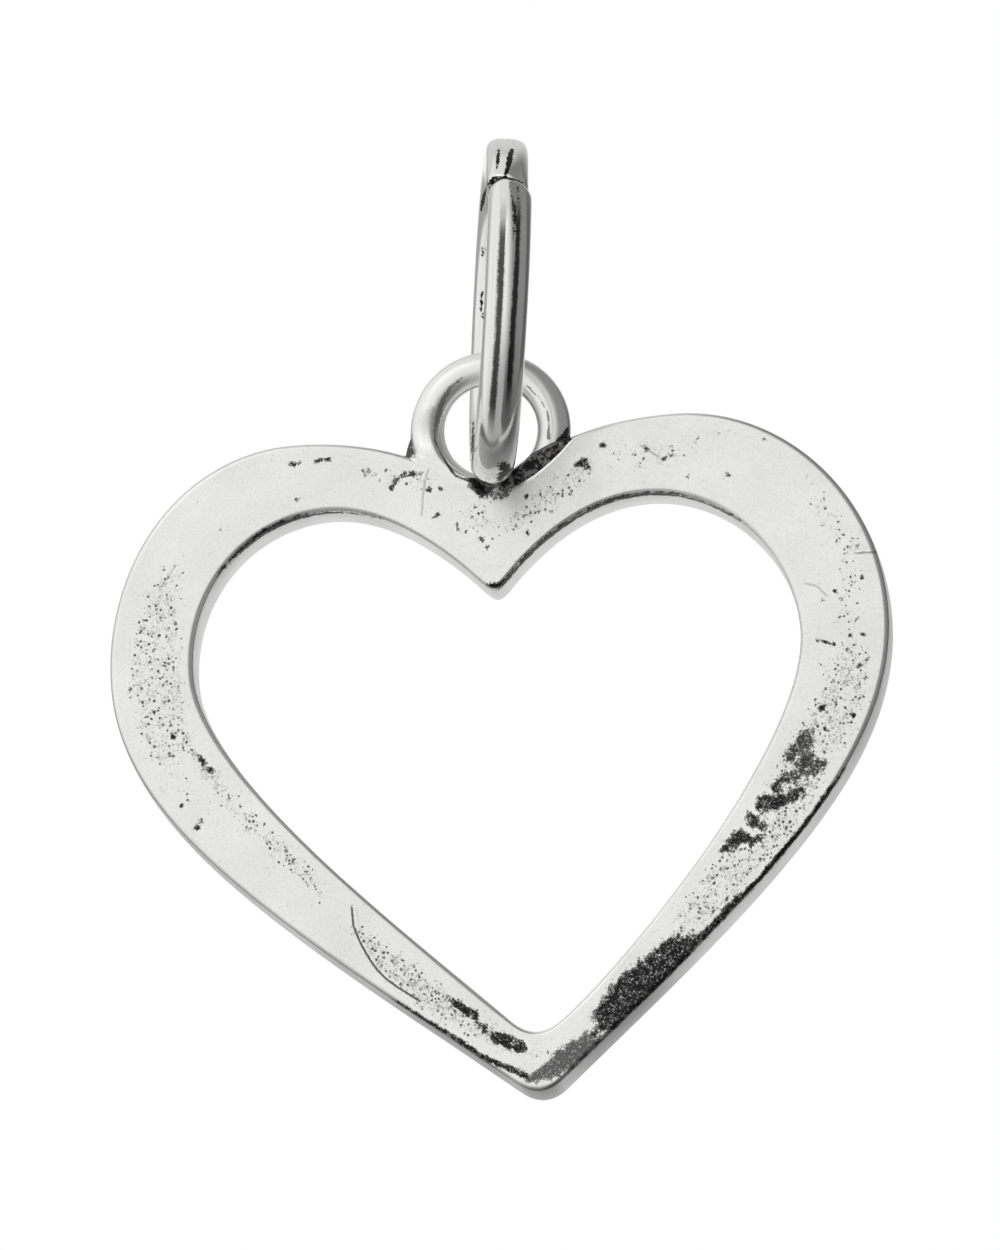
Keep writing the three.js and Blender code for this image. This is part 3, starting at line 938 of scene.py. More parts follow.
@dataclass
class HeartFrame:
    """Open heart, one casting: a band of rounded section between two heart outlines, in millimetres."""

    cleft: float
    finish: bpy.types.Material
    width: float = 18.13
    height: float = 15.85
    thickness: float = 1.7
    lobe_spread: float = 8.89
    widest_drop: float = 5.19
    cleft_drop: float = 1.56
    cleft_rise_deg: float = 40.0
    tip_rise_deg: float = 39.4
    tip_ease: float = 0.7
    band_side: float = 2.06
    band_top: float = 1.77
    band_cleft: float = 2.41
    band_tip: float = 1.4
    inner_lobe_spread: float = 7.34
    inner_widest_drop: float = 5.3
    inner_cleft_rise_deg: float = 50.0
    inner_tip_rise_deg: float = 42.2
    inner_tip_ease: float = 0.8
    front_edge_radius: float = 0.13
    back_edge_radius: float = 0.3
    lobe_slant_deg: float = -1.4
    lobe_shift: float = 0.09
    widest_lift: float = 0.26
    band_side_extra: float = 0.07
    band_top_extra: float = 0.1
    inner_tip_turn_deg: float = -4.3
    eye_set_over: float = 0.23
    lobe_fullness: float = 0.55
    shoulder_pull: float = 0.39
    flank_pull: float = 0.32
    tip_pull: float = 0.51
    inner_flank_pull: float = 0.27
    inner_tip_pull: float = 0.29
    crown: float = 0.008
    barrel: float = 0.035
    uneven: float = 0.012
    uneven_span: float = 2.4
    filed_grey: tuple[float, float] = (0.5, 1.0)
    filed_fall: tuple[float, float] = (0.0, 0.5)
    filed_facing: tuple[float, float] = (0.5, 0.9)
    seed: float = 4.0
    curve_steps: tuple[int, int, int] = (72, 100, 180)
    tip_steps: int = 14
    blunt_steps: int = 12
    blunt_passes: int = 30
    face_steps: int = 34
    wall_steps: int = 9
    back_steps: int = 12
    front_corner_steps: int = 12
    back_corner_steps: int = 6
    marks_and_shade: MarksAndShade = field(default_factory=lambda: FACE_MARKS_AND_SHADE)

    @property
    def lobe_top(self) -> float:
        """Height of the top of the lobes."""
        return self.cleft + self.cleft_drop

    def half_outline(self, cleft: tuple[float, float], lobe: tuple[float, float], side: tuple[float, float],
                     tip: tuple[float, float, float], pulls: tuple[float, float]) -> np.ndarray:
        """Draw half of a heart outline, from the cleft over the lobe and down the flank.

        Args:
            cleft: Height of the cleft and the slope that leaves it, in degrees.
            lobe: Place of the top of the lobe.
            side: Place of the widest point.
            tip: Height of the sharp tip, the slope of the flank there in degrees, and its eased length.
            pulls: Pull of the flank from the widest point and from the tip.

        Returns:
            Rows of x and z, for x above 0.
        """
        start, point = np.array((0.0, cleft[0])), np.array((0.0, tip[0]))
        top, widest = np.array(lobe), np.array(side)
        rise = np.array((math.cos(math.radians(cleft[1])), math.sin(math.radians(cleft[1]))))
        flank = np.array((math.cos(math.radians(tip[1])), math.sin(math.radians(tip[1]))))
        flank_end = point + flank * tip[2]
        span = np.linalg.norm(widest - point)
        pull, full = self.shoulder_pull, self.lobe_fullness
        curves = (
            (start, start + rise * pull * top[0], np.array((top[0] * (1 - pull), top[1])), top),
            (top, np.array((top[0] + (widest[0] - top[0]) * full, top[1])),
             np.array((widest[0], widest[1] + (top[1] - widest[1]) * full)), widest),
            (widest, np.array((widest[0], widest[1] + (point[1] - widest[1]) * pulls[0])),
             point + flank * pulls[1] * span, flank_end),
        )
        rows = []
        for (a, b, c, d), steps in zip(curves, self.curve_steps):
            t = np.linspace(0.0, 1.0, steps, endpoint=False)[:, None]
            rows.append((1 - t) ** 3 * a + 3 * (1 - t) ** 2 * t * b + 3 * (1 - t) * t * t * c + t ** 3 * d)
        return np.vstack((*rows, flank_end))

    def whole_outline(self, right: np.ndarray, left: np.ndarray, tip: float) -> np.ndarray:
        """Join two halves by a rounded tip, slant them and move them to the eye.

        Args:
            right: Right half.
            left: Left half, drawn for x above 0.
            tip: Height of the sharp tip.

        Returns:
            Rows of x and z, once round the heart from the cleft.
        """
        other = left[:0:-1] * np.array((-1.0, 1.0))
        t = np.linspace(0.0, 1.0, 2 * self.tip_steps + 1)[1:-1, None]
        easing = (1 - t) ** 2 * right[-1] + 2 * (1 - t) * t * np.array((0.0, tip)) + t * t * other[0]
        rows = np.vstack((right, easing, other))
        slant = math.tan(math.radians(self.lobe_slant_deg))
        return np.stack((rows[:, 0] - self.eye_set_over, rows[:, 1] + slant * rows[:, 0]), axis=1)

    def outlines(self) -> tuple[np.ndarray, np.ndarray]:
        """Draw both outlines of the band, station by station.

        Returns:
            Rows of x and z of the outer outline, and of the inner one.
        """
        top, reach_x = self.lobe_top, self.width / 2
        outer_tip = top - self.height
        inner_tip = outer_tip + self.band_tip
        outer, inner = {}, {}
        for side in Side:
            sign = side.value
            outer[side] = self.half_outline(
                (self.cleft, self.cleft_rise_deg),
                (self.lobe_spread / 2 + sign * self.lobe_shift, top),
                (reach_x, top - self.widest_drop + sign * self.widest_lift),
                (outer_tip, self.tip_rise_deg, self.tip_ease),
                (self.flank_pull, self.tip_pull),
            )
            inner[side] = self.half_outline(
                (self.cleft - self.band_cleft, self.inner_cleft_rise_deg),
                (self.inner_lobe_spread / 2, top - self.band_top - sign * self.band_top_extra),
                (reach_x - self.band_side - sign * self.band_side_extra, top - self.inner_widest_drop),
                (inner_tip, self.inner_tip_rise_deg + sign * self.inner_tip_turn_deg, self.inner_tip_ease),
                (self.inner_flank_pull, self.inner_tip_pull),
            )
        inside = self.whole_outline(inner[Side.RIGHT], inner[Side.LEFT], inner_tip)
        # The cusp inside the cleft is worn blunt
        near = np.arange(-self.blunt_steps, self.blunt_steps + 1)
        for _ in range(self.blunt_passes):
            inside[near] = (inside[near - 1] + 2.0 * inside[near] + inside[near + 1]) / 4
        return self.whole_outline(outer[Side.RIGHT], outer[Side.LEFT], outer_tip), inside

    def section(self) -> np.ndarray:
        """Lay out the band's section, once round from the inner end of its front face.

        Returns:
            Rows of share across, share front to back, share of the front radius, and corner angle.
        """
        runs = (
            (self.face_steps, (-1, -1, 1, -90), (1, -1, 1, -90)),
            (self.front_corner_steps, (1, -1, 1, -90), (1, -1, 1, 0)),
            (self.wall_steps, (1, -1, 1, 0), (1, 1, 0, 0)),
            (self.back_corner_steps, (1, 1, 0, 0), (1, 1, 0, 90)),
            (self.back_steps, (1, 1, 0, 90), (-1, 1, 0, 90)),
            (self.back_corner_steps, (-1, 1, 0, 90), (-1, 1, 0, 180)),
            (self.wall_steps, (-1, 1, 0, 180), (-1, -1, 1, 180)),
            (self.front_corner_steps, (-1, -1, 1, 180), (-1, -1, 1, 270)),
        )
        rows = [np.linspace(start, end, steps, endpoint=False) for steps, start, end in runs]
        return np.vstack(rows).astype(float)

    def net(self) -> bpy.types.Mesh:
        """Weave the closed net of stations and section points that the loft gives its shape.

        Returns:
            The net, which stores what the loft reads.
        """
        outer, inner = self.outlines()
        section = self.section()
        stations, count = len(outer), len(section)
        across = outer - inner
        wide = np.linalg.norm(across, axis=1)
        across = across / wide[:, None]
        middle = inner + across * wide[:, None] / 2
        here = np.arange(stations)[:, None] * count
        there = (np.arange(stations)[:, None] + 1) % stations * count
        now = np.arange(count)[None, :]
        after = (now + 1) % count
        faces = np.stack((here + now, there + now, there + after, here + after), axis=-1).reshape(-1, 4)
        mesh = bpy.data.meshes.new("heart_net")
        flat, aim = (np.repeat(np.insert(rows, 1, 0.0, axis=1), count, axis=0) for rows in (middle, across))
        mesh.from_pydata((flat * MM).tolist(), [], faces.tolist())
        store(mesh, "across", aim)
        store(mesh, "half_width", np.repeat(wide / 2 * MM, count))
        for name, column in zip(SECTION_VALUES, section.T):
            store(mesh, name, np.tile(np.radians(column) if name == "corner" else column, stations))
        return mesh

    def loft_tree(self) -> bpy.types.NodeTree:
        """Build the tree that gives every point of the net its place on the band's rounded section.

        Returns:
            The tree, with its sizes as named inputs.
        """
        tree = start_tree("heart_loft", {"Float": (
            "Thickness", "Front Edge Radius", "Back Edge Radius", "Crown", "Barrel",
            "Uneven", "Uneven Scale", "Seed",
        )})
        sizes = add(tree, "NodeGroupInput").outputs
        across = add(tree, "GeometryNodeInputNamedAttribute", "across", data_type="FLOAT_VECTOR")
        half_wide, share_across, share_deep, share_front, corner = (
            add(tree, "GeometryNodeInputNamedAttribute", name, data_type="FLOAT")
            for name in ("half_width", *SECTION_VALUES)
        )
        radius = add(tree, "Mix", share_front, sizes["Back Edge Radius"], sizes["Front Edge Radius"])
        half_deep = add(tree, "Math", sizes["Thickness"], 0.5, operation="MULTIPLY")
        core_wide = add(tree, "Math", half_wide, radius, operation="SUBTRACT")
        core_deep = add(tree, "Math", half_deep, radius, operation="SUBTRACT")
        cosine = add(tree, "Math", corner, operation="COSINE")
        sine = add(tree, "Math", corner, operation="SINE")
        out_wide = add(tree, "Math", radius, cosine, operation="MULTIPLY")
        out_deep = add(tree, "Math", radius, sine, operation="MULTIPLY")
        wide = add(tree, "Math", core_wide, share_across, out_wide, operation="MULTIPLY_ADD")
        deep = add(tree, "Math", core_deep, share_deep, out_deep, operation="MULTIPLY_ADD")
        # The front face is a little crowned: it falls back towards both edges
        share = add(tree, "Math", wide, half_wide, operation="DIVIDE")
        square = add(tree, "Math", share, share, operation="MULTIPLY")
        fall = add(tree, "Math", square, sizes["Crown"], operation="MULTIPLY")
        crowned = add(tree, "Math", fall, share_front, deep, operation="MULTIPLY_ADD")
        # The walls are a little barrelled: they draw in towards the front and the back
        depth = add(tree, "Math", deep, half_deep, operation="DIVIDE")
        draw = add(tree, "Math", depth, depth, operation="MULTIPLY")
        drawn = add(tree, "Math", draw, sizes["Barrel"], operation="MULTIPLY")
        pull = add(tree, "Math", drawn, share, operation="MULTIPLY")
        barrelled = add(tree, "Math", wide, pull, operation="SUBTRACT")
        sideways = add(tree, "VectorMath", across, barrelled, operation="SCALE")
        back = add(tree, "CombineXYZ", Y=crowned)
        offset = add(tree, "VectorMath", sideways, back, operation="ADD")
        end_tree(tree, sizes, add(tree, "GeometryNodeSetPosition", sizes["Geometry"], Offset=offset))
        return tree

    def build(self, view: PhotoView) -> bpy.types.Object:
        """Make the heart frame and hang it on its body.

        Args:
            view: Camera that the places of the marks and painted shade refer to.

        Returns:
            The finished piece.
        """
        piece = show("heart_frame_silver", self.net())
        run_tree(piece, self.loft_tree(), {
            "Thickness": self.thickness * MM,
            "Front Edge Radius": self.front_edge_radius * MM,
            "Back Edge Radius": self.back_edge_radius * MM,
            "Crown": self.crown * MM,
            "Barrel": self.barrel * MM,
            "Uneven": self.uneven * MM,
            "Uneven Scale": per_mm(self.uneven_span),
            "Seed": self.seed,
            "Finish": self.finish,
        })
        stored = piece.data.attributes
        aim = rows_of(stored["across"].data, "vector")
        outward = (normals_of(piece.data) * aim).sum(axis=1)
        # The outer walls are greyed, more the further they face down
        grey = np.interp(-aim[:, 2], self.filed_fall, self.filed_grey)
        store(piece.data, "filed", grey * np.interp(outward, self.filed_facing, (0.0, 1.0)))
        for name in ("across", "half_width", *SECTION_VALUES):
            stored.remove(stored[name])
        self.marks_and_shade.paint(piece.data, view)
        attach(piece, Body.HEART.value)
        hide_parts("heart_frame")
        return piece


def wire_tree() -> bpy.types.NodeTree:
    """Build the tree that sweeps round wire along a ring, closed or cut.

    Returns:
        The tree, with the ring in its own XY plane and a cut, if any, at +X.
    """
    tree = start_tree("wire_sweep", {
        "Float": ("Ring Radius", "Wire Radius", "Cut", "Uneven", "Uneven Scale", "Seed"),
        "Int": ("Steps Along", "Steps Around"),
        "Bool": ("Is Cut",),
    })
    sizes = add(tree, "NodeGroupInput").outputs
    along, ring_radius = sizes["Steps Along"], sizes["Ring Radius"]
    cut_angle = add(tree, "Math", sizes["Cut"], ring_radius, operation="DIVIDE")
    start = add(tree, "Math", cut_angle, 0.5, operation="MULTIPLY")
    turn = add(tree, "Math", 2 * math.pi, cut_angle, operation="SUBTRACT")
    arc = add(tree, "GeometryNodeCurveArc", along, ring_radius, start, turn, mode="RADIUS")
    loop = add(tree, "GeometryNodeCurvePrimitiveCircle", along, ring_radius, mode="RADIUS")
    path = add(tree, "GeometryNodeSwitch", sizes["Is Cut"], loop, arc, input_type="GEOMETRY")
    round_wire = add(tree, "GeometryNodeCurvePrimitiveCircle", sizes["Steps Around"], sizes["Wire Radius"],
                     mode="RADIUS")
    swept = add(tree, "GeometryNodeCurveToMesh", Curve=path, Profile_Curve=round_wire, Fill_Caps=True)
    end_tree(tree, sizes, swept)
    return tree


@dataclass
class WireRing:
    """Ring of round wire, closed or cut, in millimetres."""

    tree: bpy.types.NodeTree
    finish: bpy.types.Material
    wire: float
    radius: float
    uneven: float
    uneven_span: float
    seed: float
    steps: tuple[int, int]
    cut: float = 0.0

    def sweep(self, name: str) -> bpy.types.Object:
        """Sweep the wire, and store each point's place along and around it for the lines that follow it.

        Args:
            name: Name of the piece.

        Returns:
            The piece, with the ring in its own XY plane.
        """
        piece = show(name, bpy.data.meshes.new(name))
        run_tree(piece, self.tree, {
            "Ring Radius": self.radius * MM,
            "Wire Radius": self.wire / 2 * MM,
            "Cut": self.cut * MM,
            "Uneven": self.uneven * MM,
            "Uneven Scale": per_mm(self.uneven_span),
            "Seed": self.seed,
            "Steps Along": self.steps[0],
            "Steps Around": self.steps[1],
            "Is Cut": self.cut > 0.0,
            "Finish": self.finish,
        })
        points = points_of(piece.data)
        out = np.hypot(points[:, 0], points[:, 1]) - self.radius
        along = np.arctan2(points[:, 1], points[:, 0]) * self.radius
        store(piece.data, "wire_place", np.stack((along, out, points[:, 2]), axis=1))
        return piece


@dataclass
class Eyelet:
    """Closed ring of round wire let into the heart's cleft, in millimetres."""

    tree: bpy.types.NodeTree
    finish: bpy.types.Material
    hole: float = 2.16
    wire: float = 0.78
    sink: float = 0.22
    uneven: float = 0.008
    uneven_span: float = 1.1
    seed: float = 11.0
    steps: tuple[int, int] = (260, 56)
    marks_and_shade: MarksAndShade = field(default_factory=lambda: EYE_MARKS_AND_SHADE)

    @property
    def radius(self) -> float:
        """Radius of the wire's centre line."""
        return (self.hole + self.wire) / 2

    @property
    def centre(self) -> float:
        """Height of the eye's centre."""
        return -self.hole / 2

    @property
    def seat(self) -> float:
        """Height of the bottom of the cleft that the eye is sunk into."""
        return self.centre - self.hole / 2 - self.wire + self.sink

    def build(self, view: PhotoView) -> bpy.types.Object:
        """Make the eye and hang it on the heart's body.

        Args:
            view: Camera that the places of the marks and painted shade refer to.

        Returns:
            The finished piece.
        """
        ring = WireRing(self.tree, self.finish, self.wire, self.radius, self.uneven, self.uneven_span,
                        self.seed, self.steps)
        piece = ring.sweep("eyelet_wire")
        upright = Matrix.Translation((0.0, 0.0, self.centre * MM)) @ Matrix.Rotation(math.pi / 2, 4, "X")
        piece.data.transform(upright)
        self.marks_and_shade.paint(piece.data, view)
        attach(piece, Body.HEART.value)
        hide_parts("eyelet")
        return piece


@dataclass
class SolderJoint:
    """Solder run into the corner between the eye and one shoulder of the heart, in millimetres."""

    side: Side
    heart: HeartFrame
    eye: Eyelet
    finish: bpy.types.Material
    marks_and_shade: MarksAndShade
    fillet: float
    sweep_deg: tuple[float, float]
    reach_deg: tuple[float, float, float, float]
    flush_deg: tuple[float, float, float, float] | None = None
    inner_reach: float = 0.37
    outer_reach: tuple[float, float] = (0.37, 0.7)
    run_out: float = 0.2
    steps: tuple[int, int] = (140, 60)
    skin: float = 0.026
    flush_drop: float = 0.008
    feather: float = 0.04
    brim: float = 0.23
    brim_power: float = 2.0
    merge: float = 0.15
    web: float = 0.24
    buried: float = 0.1
    lip: float = 0.01
    steep: float = 4.0
    thin_end: float = 0.1

    def heart_height(self, places: np.ndarray) -> tuple[np.ndarray, np.ndarray]:
        """Measure how far the heart's front stands before its middle plane.

        Args:
            places: Rows of x and z.

        Returns:
            How far inside the outline each place lies, and the height there, which falls steeply outside.
        """
        outline = self.heart.outlines()[0]
        along = np.roll(outline, -1, axis=0) - outline
        offset = places[:, None, :] - outline[None, :, :]
        share = np.clip((offset * along).sum(2) / (along * along).sum(1), 0.0, 1.0)
        away = offset - share[:, :, None] * along
        gaps = np.linalg.norm(away, axis=2)
        nearest = gaps.argmin(axis=1)
        rows = np.arange(len(places))
        turn = along[nearest, 0] * away[rows, nearest, 1] - along[nearest, 1] * away[rows, nearest, 0]
        inside = np.where(turn < 0.0, 1.0, -1.0) * gaps[rows, nearest]
        radius, half = self.heart.front_edge_radius, self.heart.thickness / 2
        drop = radius - np.clip(inside, 0.0, radius)
        rounded = half - radius + np.sqrt(np.maximum(radius ** 2 - drop ** 2, 0.0))
        return inside, np.where(inside > 0.0, rounded, half - radius + self.steep * inside)

    def wire_height(self, off: np.ndarray, lift: np.ndarray, inside: np.ndarray) -> np.ndarray:
        """Measure how far the eye's wire, with the solder heaped on it, stands before the middle plane.

        Args:
            off: Distance of each place from the wire's centre line, away from the eye's hole.
            lift: Share of the step from the wire up to the heart's face that the solder fills.
            inside: How far inside the heart's outline each place lies.

        Returns:
            Height at each place, which falls steeply beside the wire.
        """
        half = self.eye.wire / 2
        level = lift * np.clip(1.0 + inside / self.merge, 0.0, 1.0) * (off > 0.0)
        # Flush solder ends in a steep brim before the eye's hole
        power = 2.0 + lift * self.brim_power
        span = np.where(off < 0.0, half + lift * (self.brim - half), half)
        crest = (1.0 - np.clip(np.abs(off) / span, 0.0, 1.0) ** power) ** (1.0 / power)
        crest = crest + level * (1.0 - crest)
        top = half + lift * (self.heart.thickness / 2 - self.flush_drop - half)
        fall = self.steep * np.maximum(np.abs(off) - half, 0.0) * (1.0 - level)
        return top * crest - fall - lift * self.feather * np.clip(inside, 0.0, None)

    def build(self, view: PhotoView) -> bpy.types.Object:
        """Make the solder as a skin blended over wire and heart, closed behind, and hang it on the heart.

        Args:
            view: Camera that the places of the marks and painted shade refer to.

        Returns:
            The finished piece.
        """
        rows, columns = self.steps
        angles = np.radians(np.linspace(*self.sweep_deg, rows))
        # The solder runs out onto the wire at both ends of its sweep
        from_end = np.minimum(np.arange(rows), np.arange(rows)[::-1])
        ends = ease(np.clip(from_end / (self.run_out * rows), 0.0, 1.0))
        wide = np.interp(np.degrees(angles), self.reach_deg, (0.0, 1.0, 1.0, 0.0))
        outer = self.outer_reach[0] + wide * (self.outer_reach[1] - self.outer_reach[0])
        share = np.linspace(0.0, 1.0, columns)
        span = self.eye.radius - self.inner_reach + share[None, :] * (self.inner_reach + outer)[:, None]
        angle = np.repeat(angles[:, None], columns, axis=1)
        places = np.stack((span * np.cos(angle), self.eye.centre + span * np.sin(angle)), axis=-1)
        places = places.reshape(-1, 2)
        lift = np.zeros(rows)
        if self.flush_deg:
            lift = ease(np.interp(np.degrees(angles), self.flush_deg, (0.0, 1.0, 1.0, 0.0)))
        flush = np.repeat(lift, columns)
        off = (span - self.eye.radius).ravel()
        inside, heart = self.heart_height(places)
        wire = self.wire_height(off, flush, inside)
        fillet = np.repeat(self.fillet * (self.thin_end + (1.0 - self.thin_end) * ends), columns)
        # The skin fills the corner where wire and heart meet, and dips under both further off
        close = np.maximum(fillet - np.abs(heart - wire), 0.0) / fillet * (1.0 - flush)
        bare = np.where(wire > heart, flush, 0.0)
        front = np.maximum(heart, wire) + close ** 2 * fillet / 4 - self.skin * (1.0 - close) * (1.0 - bare)
        front = front + flush * (wire - front)
        # A web closes the notch between the wire and the lobe
        outside = np.clip(1.0 + off / self.merge, 0.0, 1.0)
        web = (self.web - self.buried) * np.repeat(wide, columns) * outside
        front = np.maximum(front, self.buried + self.lip + web)
        near = np.stack((places[:, 0], -front, places[:, 1]), axis=1)
        far = np.stack((places[:, 0], np.full(len(places), -self.buried), places[:, 1]), axis=1)
        grid = np.arange(rows * columns).reshape(rows, columns)
        quads = np.stack((grid[:-1, :-1], grid[1:, :-1], grid[1:, 1:], grid[:-1, 1:]), axis=-1).reshape(-1, 4)
        rim = np.concatenate((grid[0, :], grid[1:, -1], grid[-1, -2::-1], grid[-2:0:-1, 0]))
        wall = np.stack((rim, np.roll(rim, -1), np.roll(rim, -1) + grid.size, rim + grid.size), axis=-1)
        mesh = bpy.data.meshes.new("solder")
        faces = np.vstack((quads[:, ::-1], quads + grid.size, wall))
        mesh.from_pydata((np.vstack((near, far)) * MM).tolist(), [], faces.tolist())
        mesh.shade_smooth()
        mesh.materials.append(self.finish)
        self.marks_and_shade.paint(mesh, view)
        name = self.side.name.lower()
        piece = show(f"solder_joint_{name}", mesh)
        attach(piece, Body.HEART.value)
        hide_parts(f"solder_fillet_{name}")
        return piece


@dataclass
class JumpRing:
    """Cut ring of round wire that swings in the eye, in millimetres and degrees."""

    tree: bpy.types.NodeTree
    finish: bpy.types.Material
    eye: Eyelet
    diameter: float = 8.0
    wire: float = 1.02
    cut: float = 0.045
    end_offset: float = 0.08
    cut_at_deg: float = 51.0
    run_gap: float = 0.08
    swing_deg: float = 69.8
    lean_deg: float = 7.8
    turn_deg: float = 7.4
    slope: float = 0.25
    slope_span: float = 1.0
    burr: float = 0.06
    burr_share: float = 0.09
    flat_at: float = 1.6
    flat_long: float = 2.6
    flat_power: float = 3.4
    flat_rise: float = 0.25
    uneven: float = 0.008
    uneven_span: float = 1.6
    seed: float = 23.0
    steps: tuple[int, int] = (640, 72)
    marks_and_shade: MarksAndShade = field(default_factory=lambda: RING_MARKS_AND_SHADE)

    @property
    def radius(self) -> float:
        """Radius of the wire's centre line."""
        return (self.diameter - self.wire) / 2

    def cut_ends(self, mesh: bpy.types.Mesh) -> None:
        """Step the two ends sideways, slope the cut and break its sharp edges.

        Args:
            mesh: Ring in its own XY plane, with its cut at +X.
        """
        points = points_of(mesh)
        angle = np.arctan2(points[:, 1], points[:, 0]) % (2 * math.pi)
        out = np.hypot(points[:, 0], points[:, 1]) - self.radius
        share = angle / (2 * math.pi)
        from_cut = np.minimum(angle, 2 * math.pi - angle) * self.radius - self.cut / 2
        tight = 1.0 - self.burr_share * np.exp(-np.maximum(from_cut, 0.0) / self.burr)
        side = points[:, 2] * tight
        out = out * tight
        # The pliers squeezed the outer side of the rear end flat
        near = np.clip(1.0 - np.abs(from_cut - self.flat_at) / self.flat_long, 0.0, 1.0) * (angle > math.pi)
        gripped = ease(near) * np.clip(out / (self.wire * self.flat_rise), 0.0, 1.0)
        around = np.arctan2(side, out)
        square = np.abs(np.cos(around)) ** self.flat_power + np.abs(np.sin(around)) ** self.flat_power
        grow = 1.0 + gripped * (square ** (-1.0 / self.flat_power) - 1.0)
        side = side * grow
        out = out * grow
        angle = angle + self.slope * side / self.radius * np.exp(-np.maximum(from_cut, 0.0) / self.slope_span)
        reach_out = self.radius + out
        move_points(mesh, np.stack((
            reach_out * np.cos(angle),
            reach_out * np.sin(angle),
            side + self.end_offset * (0.5 - share),
        ), axis=1))

    def placing(self) -> Matrix:
        """Work out the turn from the ring's own plane to its place in the eye at rest.

        Returns:
            The turn and the move, in metres.
        """
        degrees = (self.lean_deg, self.turn_deg, self.swing_deg, self.cut_at_deg)
        lean, turn, swing, cut = (math.radians(angle) for angle in degrees)
        lift = self.diameter / 2 - self.wire - self.eye.wire / 2 - self.run_gap
        own = Matrix(((0, 0, 1, 0), (0, -1, 0, 0), (1, 0, 0, 0), (0, 0, 0, 1)))
        return (
            Matrix.Translation((0.0, 0.0, self.eye.centre * MM))
            @ Matrix.Rotation(lean, 4, "Y")
            @ Matrix.Translation((0.0, 0.0, self.eye.radius * MM))
            @ Matrix.Rotation(turn, 4, "Z")
            @ Matrix.Rotation(swing, 4, "X")
            @ Matrix.Translation((0.0, 0.0, lift * MM))
            @ Matrix.Rotation(cut - swing, 4, "X")
            @ own
        )

    def build(self, view: PhotoView) -> bpy.types.Object:
        """Make the jump ring and hang it on its own body.

        Args:
            view: Camera that the places of the marks and painted shade refer to.

        Returns:
            The finished piece.
        """
        ring = WireRing(self.tree, self.finish, self.wire, self.radius, self.uneven, self.uneven_span,
                        self.seed, self.steps, self.cut)
        piece = ring.sweep("jump_ring_wire")
        self.cut_ends(piece.data)
        piece.data.transform(self.placing())
        self.marks_and_shade.paint(piece.data, view)
        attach(piece, Body.RING.value)
        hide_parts("jump_ring")
        return piece


class Angle(Enum):
    """Angles that tell where in the tent a shade hangs: round the charm, up from level, and to the back."""

    BEARING = 0
    HEIGHT = 1
    DEPTH = 2


@dataclass(frozen=True)
class Shade:
    """Band of the tent that gives less light, in degrees; dark is the share of the light that it takes.

    It hangs only below a height, and softens above that as it does at its sides.
    """

    angle: Angle
    middle: float
    half: float
    soft: float
    dark: float
    below: float = 90.0


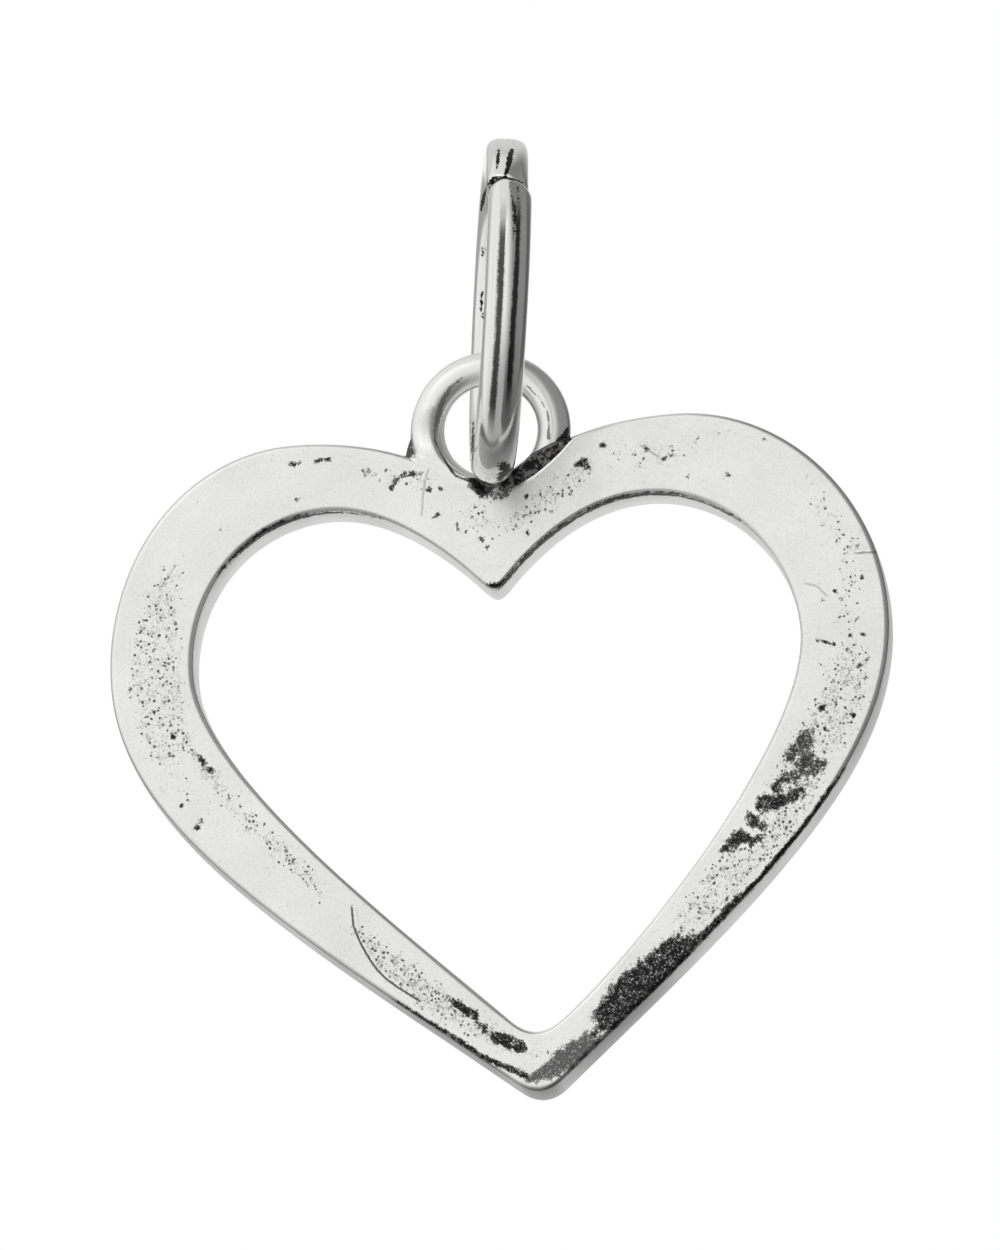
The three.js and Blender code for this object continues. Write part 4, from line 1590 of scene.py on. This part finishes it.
@dataclass(frozen=True)
class Studio:
    """White tent with shaded bands over a grey table, and a pale floor; lengths in metres."""

    floor_colour: str = "#F2F2F1"
    floor_roughness: float = 0.9
    floor_drop: float = 0.16
    floor_half: float = 1.5
    shades: tuple[Shade, ...] = (
        # Dim panel on the right, and the dark frame round the back wall, which is darker low down
        Shade(Angle.BEARING, 85.0, 45.0, 40.0, 0.72),
        Shade(Angle.DEPTH, 46.0, 13.0, 15.0, 0.28),
        Shade(Angle.DEPTH, 46.0, 13.0, 15.0, 0.4, 15.0),
        # Grey table and dim roof
        Shade(Angle.HEIGHT, -90.0, 25.0, 60.0, 0.55),
        Shade(Angle.HEIGHT, 90.0, 26.0, 16.0, 0.12),
    )
    lamp_watts: float = 0.05
    lamp_size: tuple[float, float] = (0.3, 0.2)
    lamp_place: tuple[float, float, float] = (-0.16, -0.28, 0.3)

    def make_floor(self) -> None:
        """Lay the pale floor well below the charm."""
        half, drop = self.floor_half, -self.floor_drop
        mesh = bpy.data.meshes.new("studio_floor")
        corners = [(-half, -half, drop), (half, -half, drop), (half, half, drop), (-half, half, drop)]
        mesh.from_pydata(corners, [], [(0, 1, 2, 3)])
        material = blank_material("studio_paper")
        tree = material.node_tree
        shader = add(tree, "BsdfPrincipled", linear(self.floor_colour), Roughness=self.floor_roughness)
        add(tree, "OutputMaterial", shader)
        mesh.materials.append(material)
        floor = show("studio_floor", mesh)
        floor.visible_glossy = False

    def make_lamp(self) -> None:
        """Hang one large soft lamp above and to the left of the lens."""
        data = bpy.data.lights.new("soft_lamp", "AREA")
        data.energy = self.lamp_watts
        data.shape = "RECTANGLE"
        data.size, data.size_y = self.lamp_size
        lamp = bpy.data.objects.new("soft_lamp", data)
        place = Vector(self.lamp_place)
        lamp.matrix_world = Matrix.Translation(place) @ place.to_track_quat("Z", "Y").to_matrix().to_4x4()
        bpy.context.scene.collection.objects.link(lamp)

    def make_tent(self) -> None:
        """Build the tent as the world: white to the lens, and white with its shades to the silver."""
        world = bpy.data.worlds.new("tent")
        bpy.context.scene.world = world
        world.use_nodes = True
        tree = world.node_tree
        tree.nodes.clear()
        aim = add(tree, "SeparateXYZ", add(tree, "TexCoord").outputs["Generated"]).outputs
        forward = add(tree, "Math", aim["Y"], -1.0, operation="MULTIPLY")
        radians = {
            Angle.BEARING: add(tree, "Math", aim["X"], forward, operation="ARCTAN2"),
            Angle.HEIGHT: add(tree, "Math", aim["Z"], operation="ARCSINE"),
            Angle.DEPTH: add(tree, "Math", aim["Y"], operation="ARCSINE"),
        }
        degrees = {angle: add(tree, "Math", node, operation="DEGREES") for angle, node in radians.items()}
        shaded = 1.0
        for shade in self.shades:
            off = add(tree, "Math", degrees[shade.angle], shade.middle, operation="SUBTRACT")
            away = add(tree, "Math", off, operation="ABSOLUTE")
            left = add(tree, "MapRange", away, shade.half, shade.half + shade.soft, 1.0 - shade.dark, 1.0,
                       **SMOOTH)
            left = add(tree, "MapRange", degrees[Angle.HEIGHT], shade.below, shade.below + shade.soft,
                       left, 1.0, **SMOOTH)
            shaded = add(tree, "Math", left, shaded, operation="MULTIPLY")
        rays = add(tree, "LightPath").outputs
        straight = add(tree, "Math", rays["Is Camera Ray"], rays["Is Transmission Ray"], operation="MAXIMUM")
        strength = add(tree, "Mix", straight, shaded, 1.0)
        back = add(tree, "Background", (1.0, 1.0, 1.0, 1.0), strength)
        add(tree, "OutputWorld", back)

    def build(self) -> None:
        """Set the whole stage."""
        bpy.context.scene.view_settings.view_transform = "Standard"
        self.make_floor()
        self.make_lamp()
        self.make_tent()


def main() -> None:
    """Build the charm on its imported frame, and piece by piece."""
    logging.basicConfig(level=logging.INFO, format="%(name)s: %(message)s")
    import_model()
    view = PhotoView()
    view.make_camera()
    Studio().build()
    cast = CastSilver().make()
    drawn = DrawnSilver(reflection_bands=RING_REFLECTION_BANDS).make()
    satin = DrawnSilver("drawn_silver_satin", dull="#E2E2E1", roughness=0.3, line_mm=0.2).make()
    soot = SilverSolder("solder_flame_black", bright="#747372", scale="#2A2929", scale_share=0.52).make()
    sweep = wire_tree()
    eye = Eyelet(sweep, satin)
    heart = HeartFrame(eye.seat, cast)
    pieces = [
        heart.build(view),
        eye.build(view),
        SolderJoint(Side.LEFT, heart, eye, cast, EYE_MARKS_AND_SHADE, fillet=0.4, sweep_deg=(142.0, 270.0),
                    reach_deg=(179.0, 199.0, 256.0, 268.0),
                    flush_deg=(146.0, 204.0, 246.0, 262.0)).build(view),
        SolderJoint(Side.RIGHT, heart, eye, soot, EYE_MARKS_AND_SHADE, fillet=0.28, sweep_deg=(274.0, 352.0),
                    reach_deg=(276.0, 290.0, 332.0, 350.0)).build(view),
        JumpRing(sweep, drawn, eye).build(view),
    ]
    for piece in pieces:
        piece.data.calc_loop_triangles()
        LOG.info("%s: %d triangles", piece.name, len(piece.data.loop_triangles))


if __name__ == "__main__":
    main()
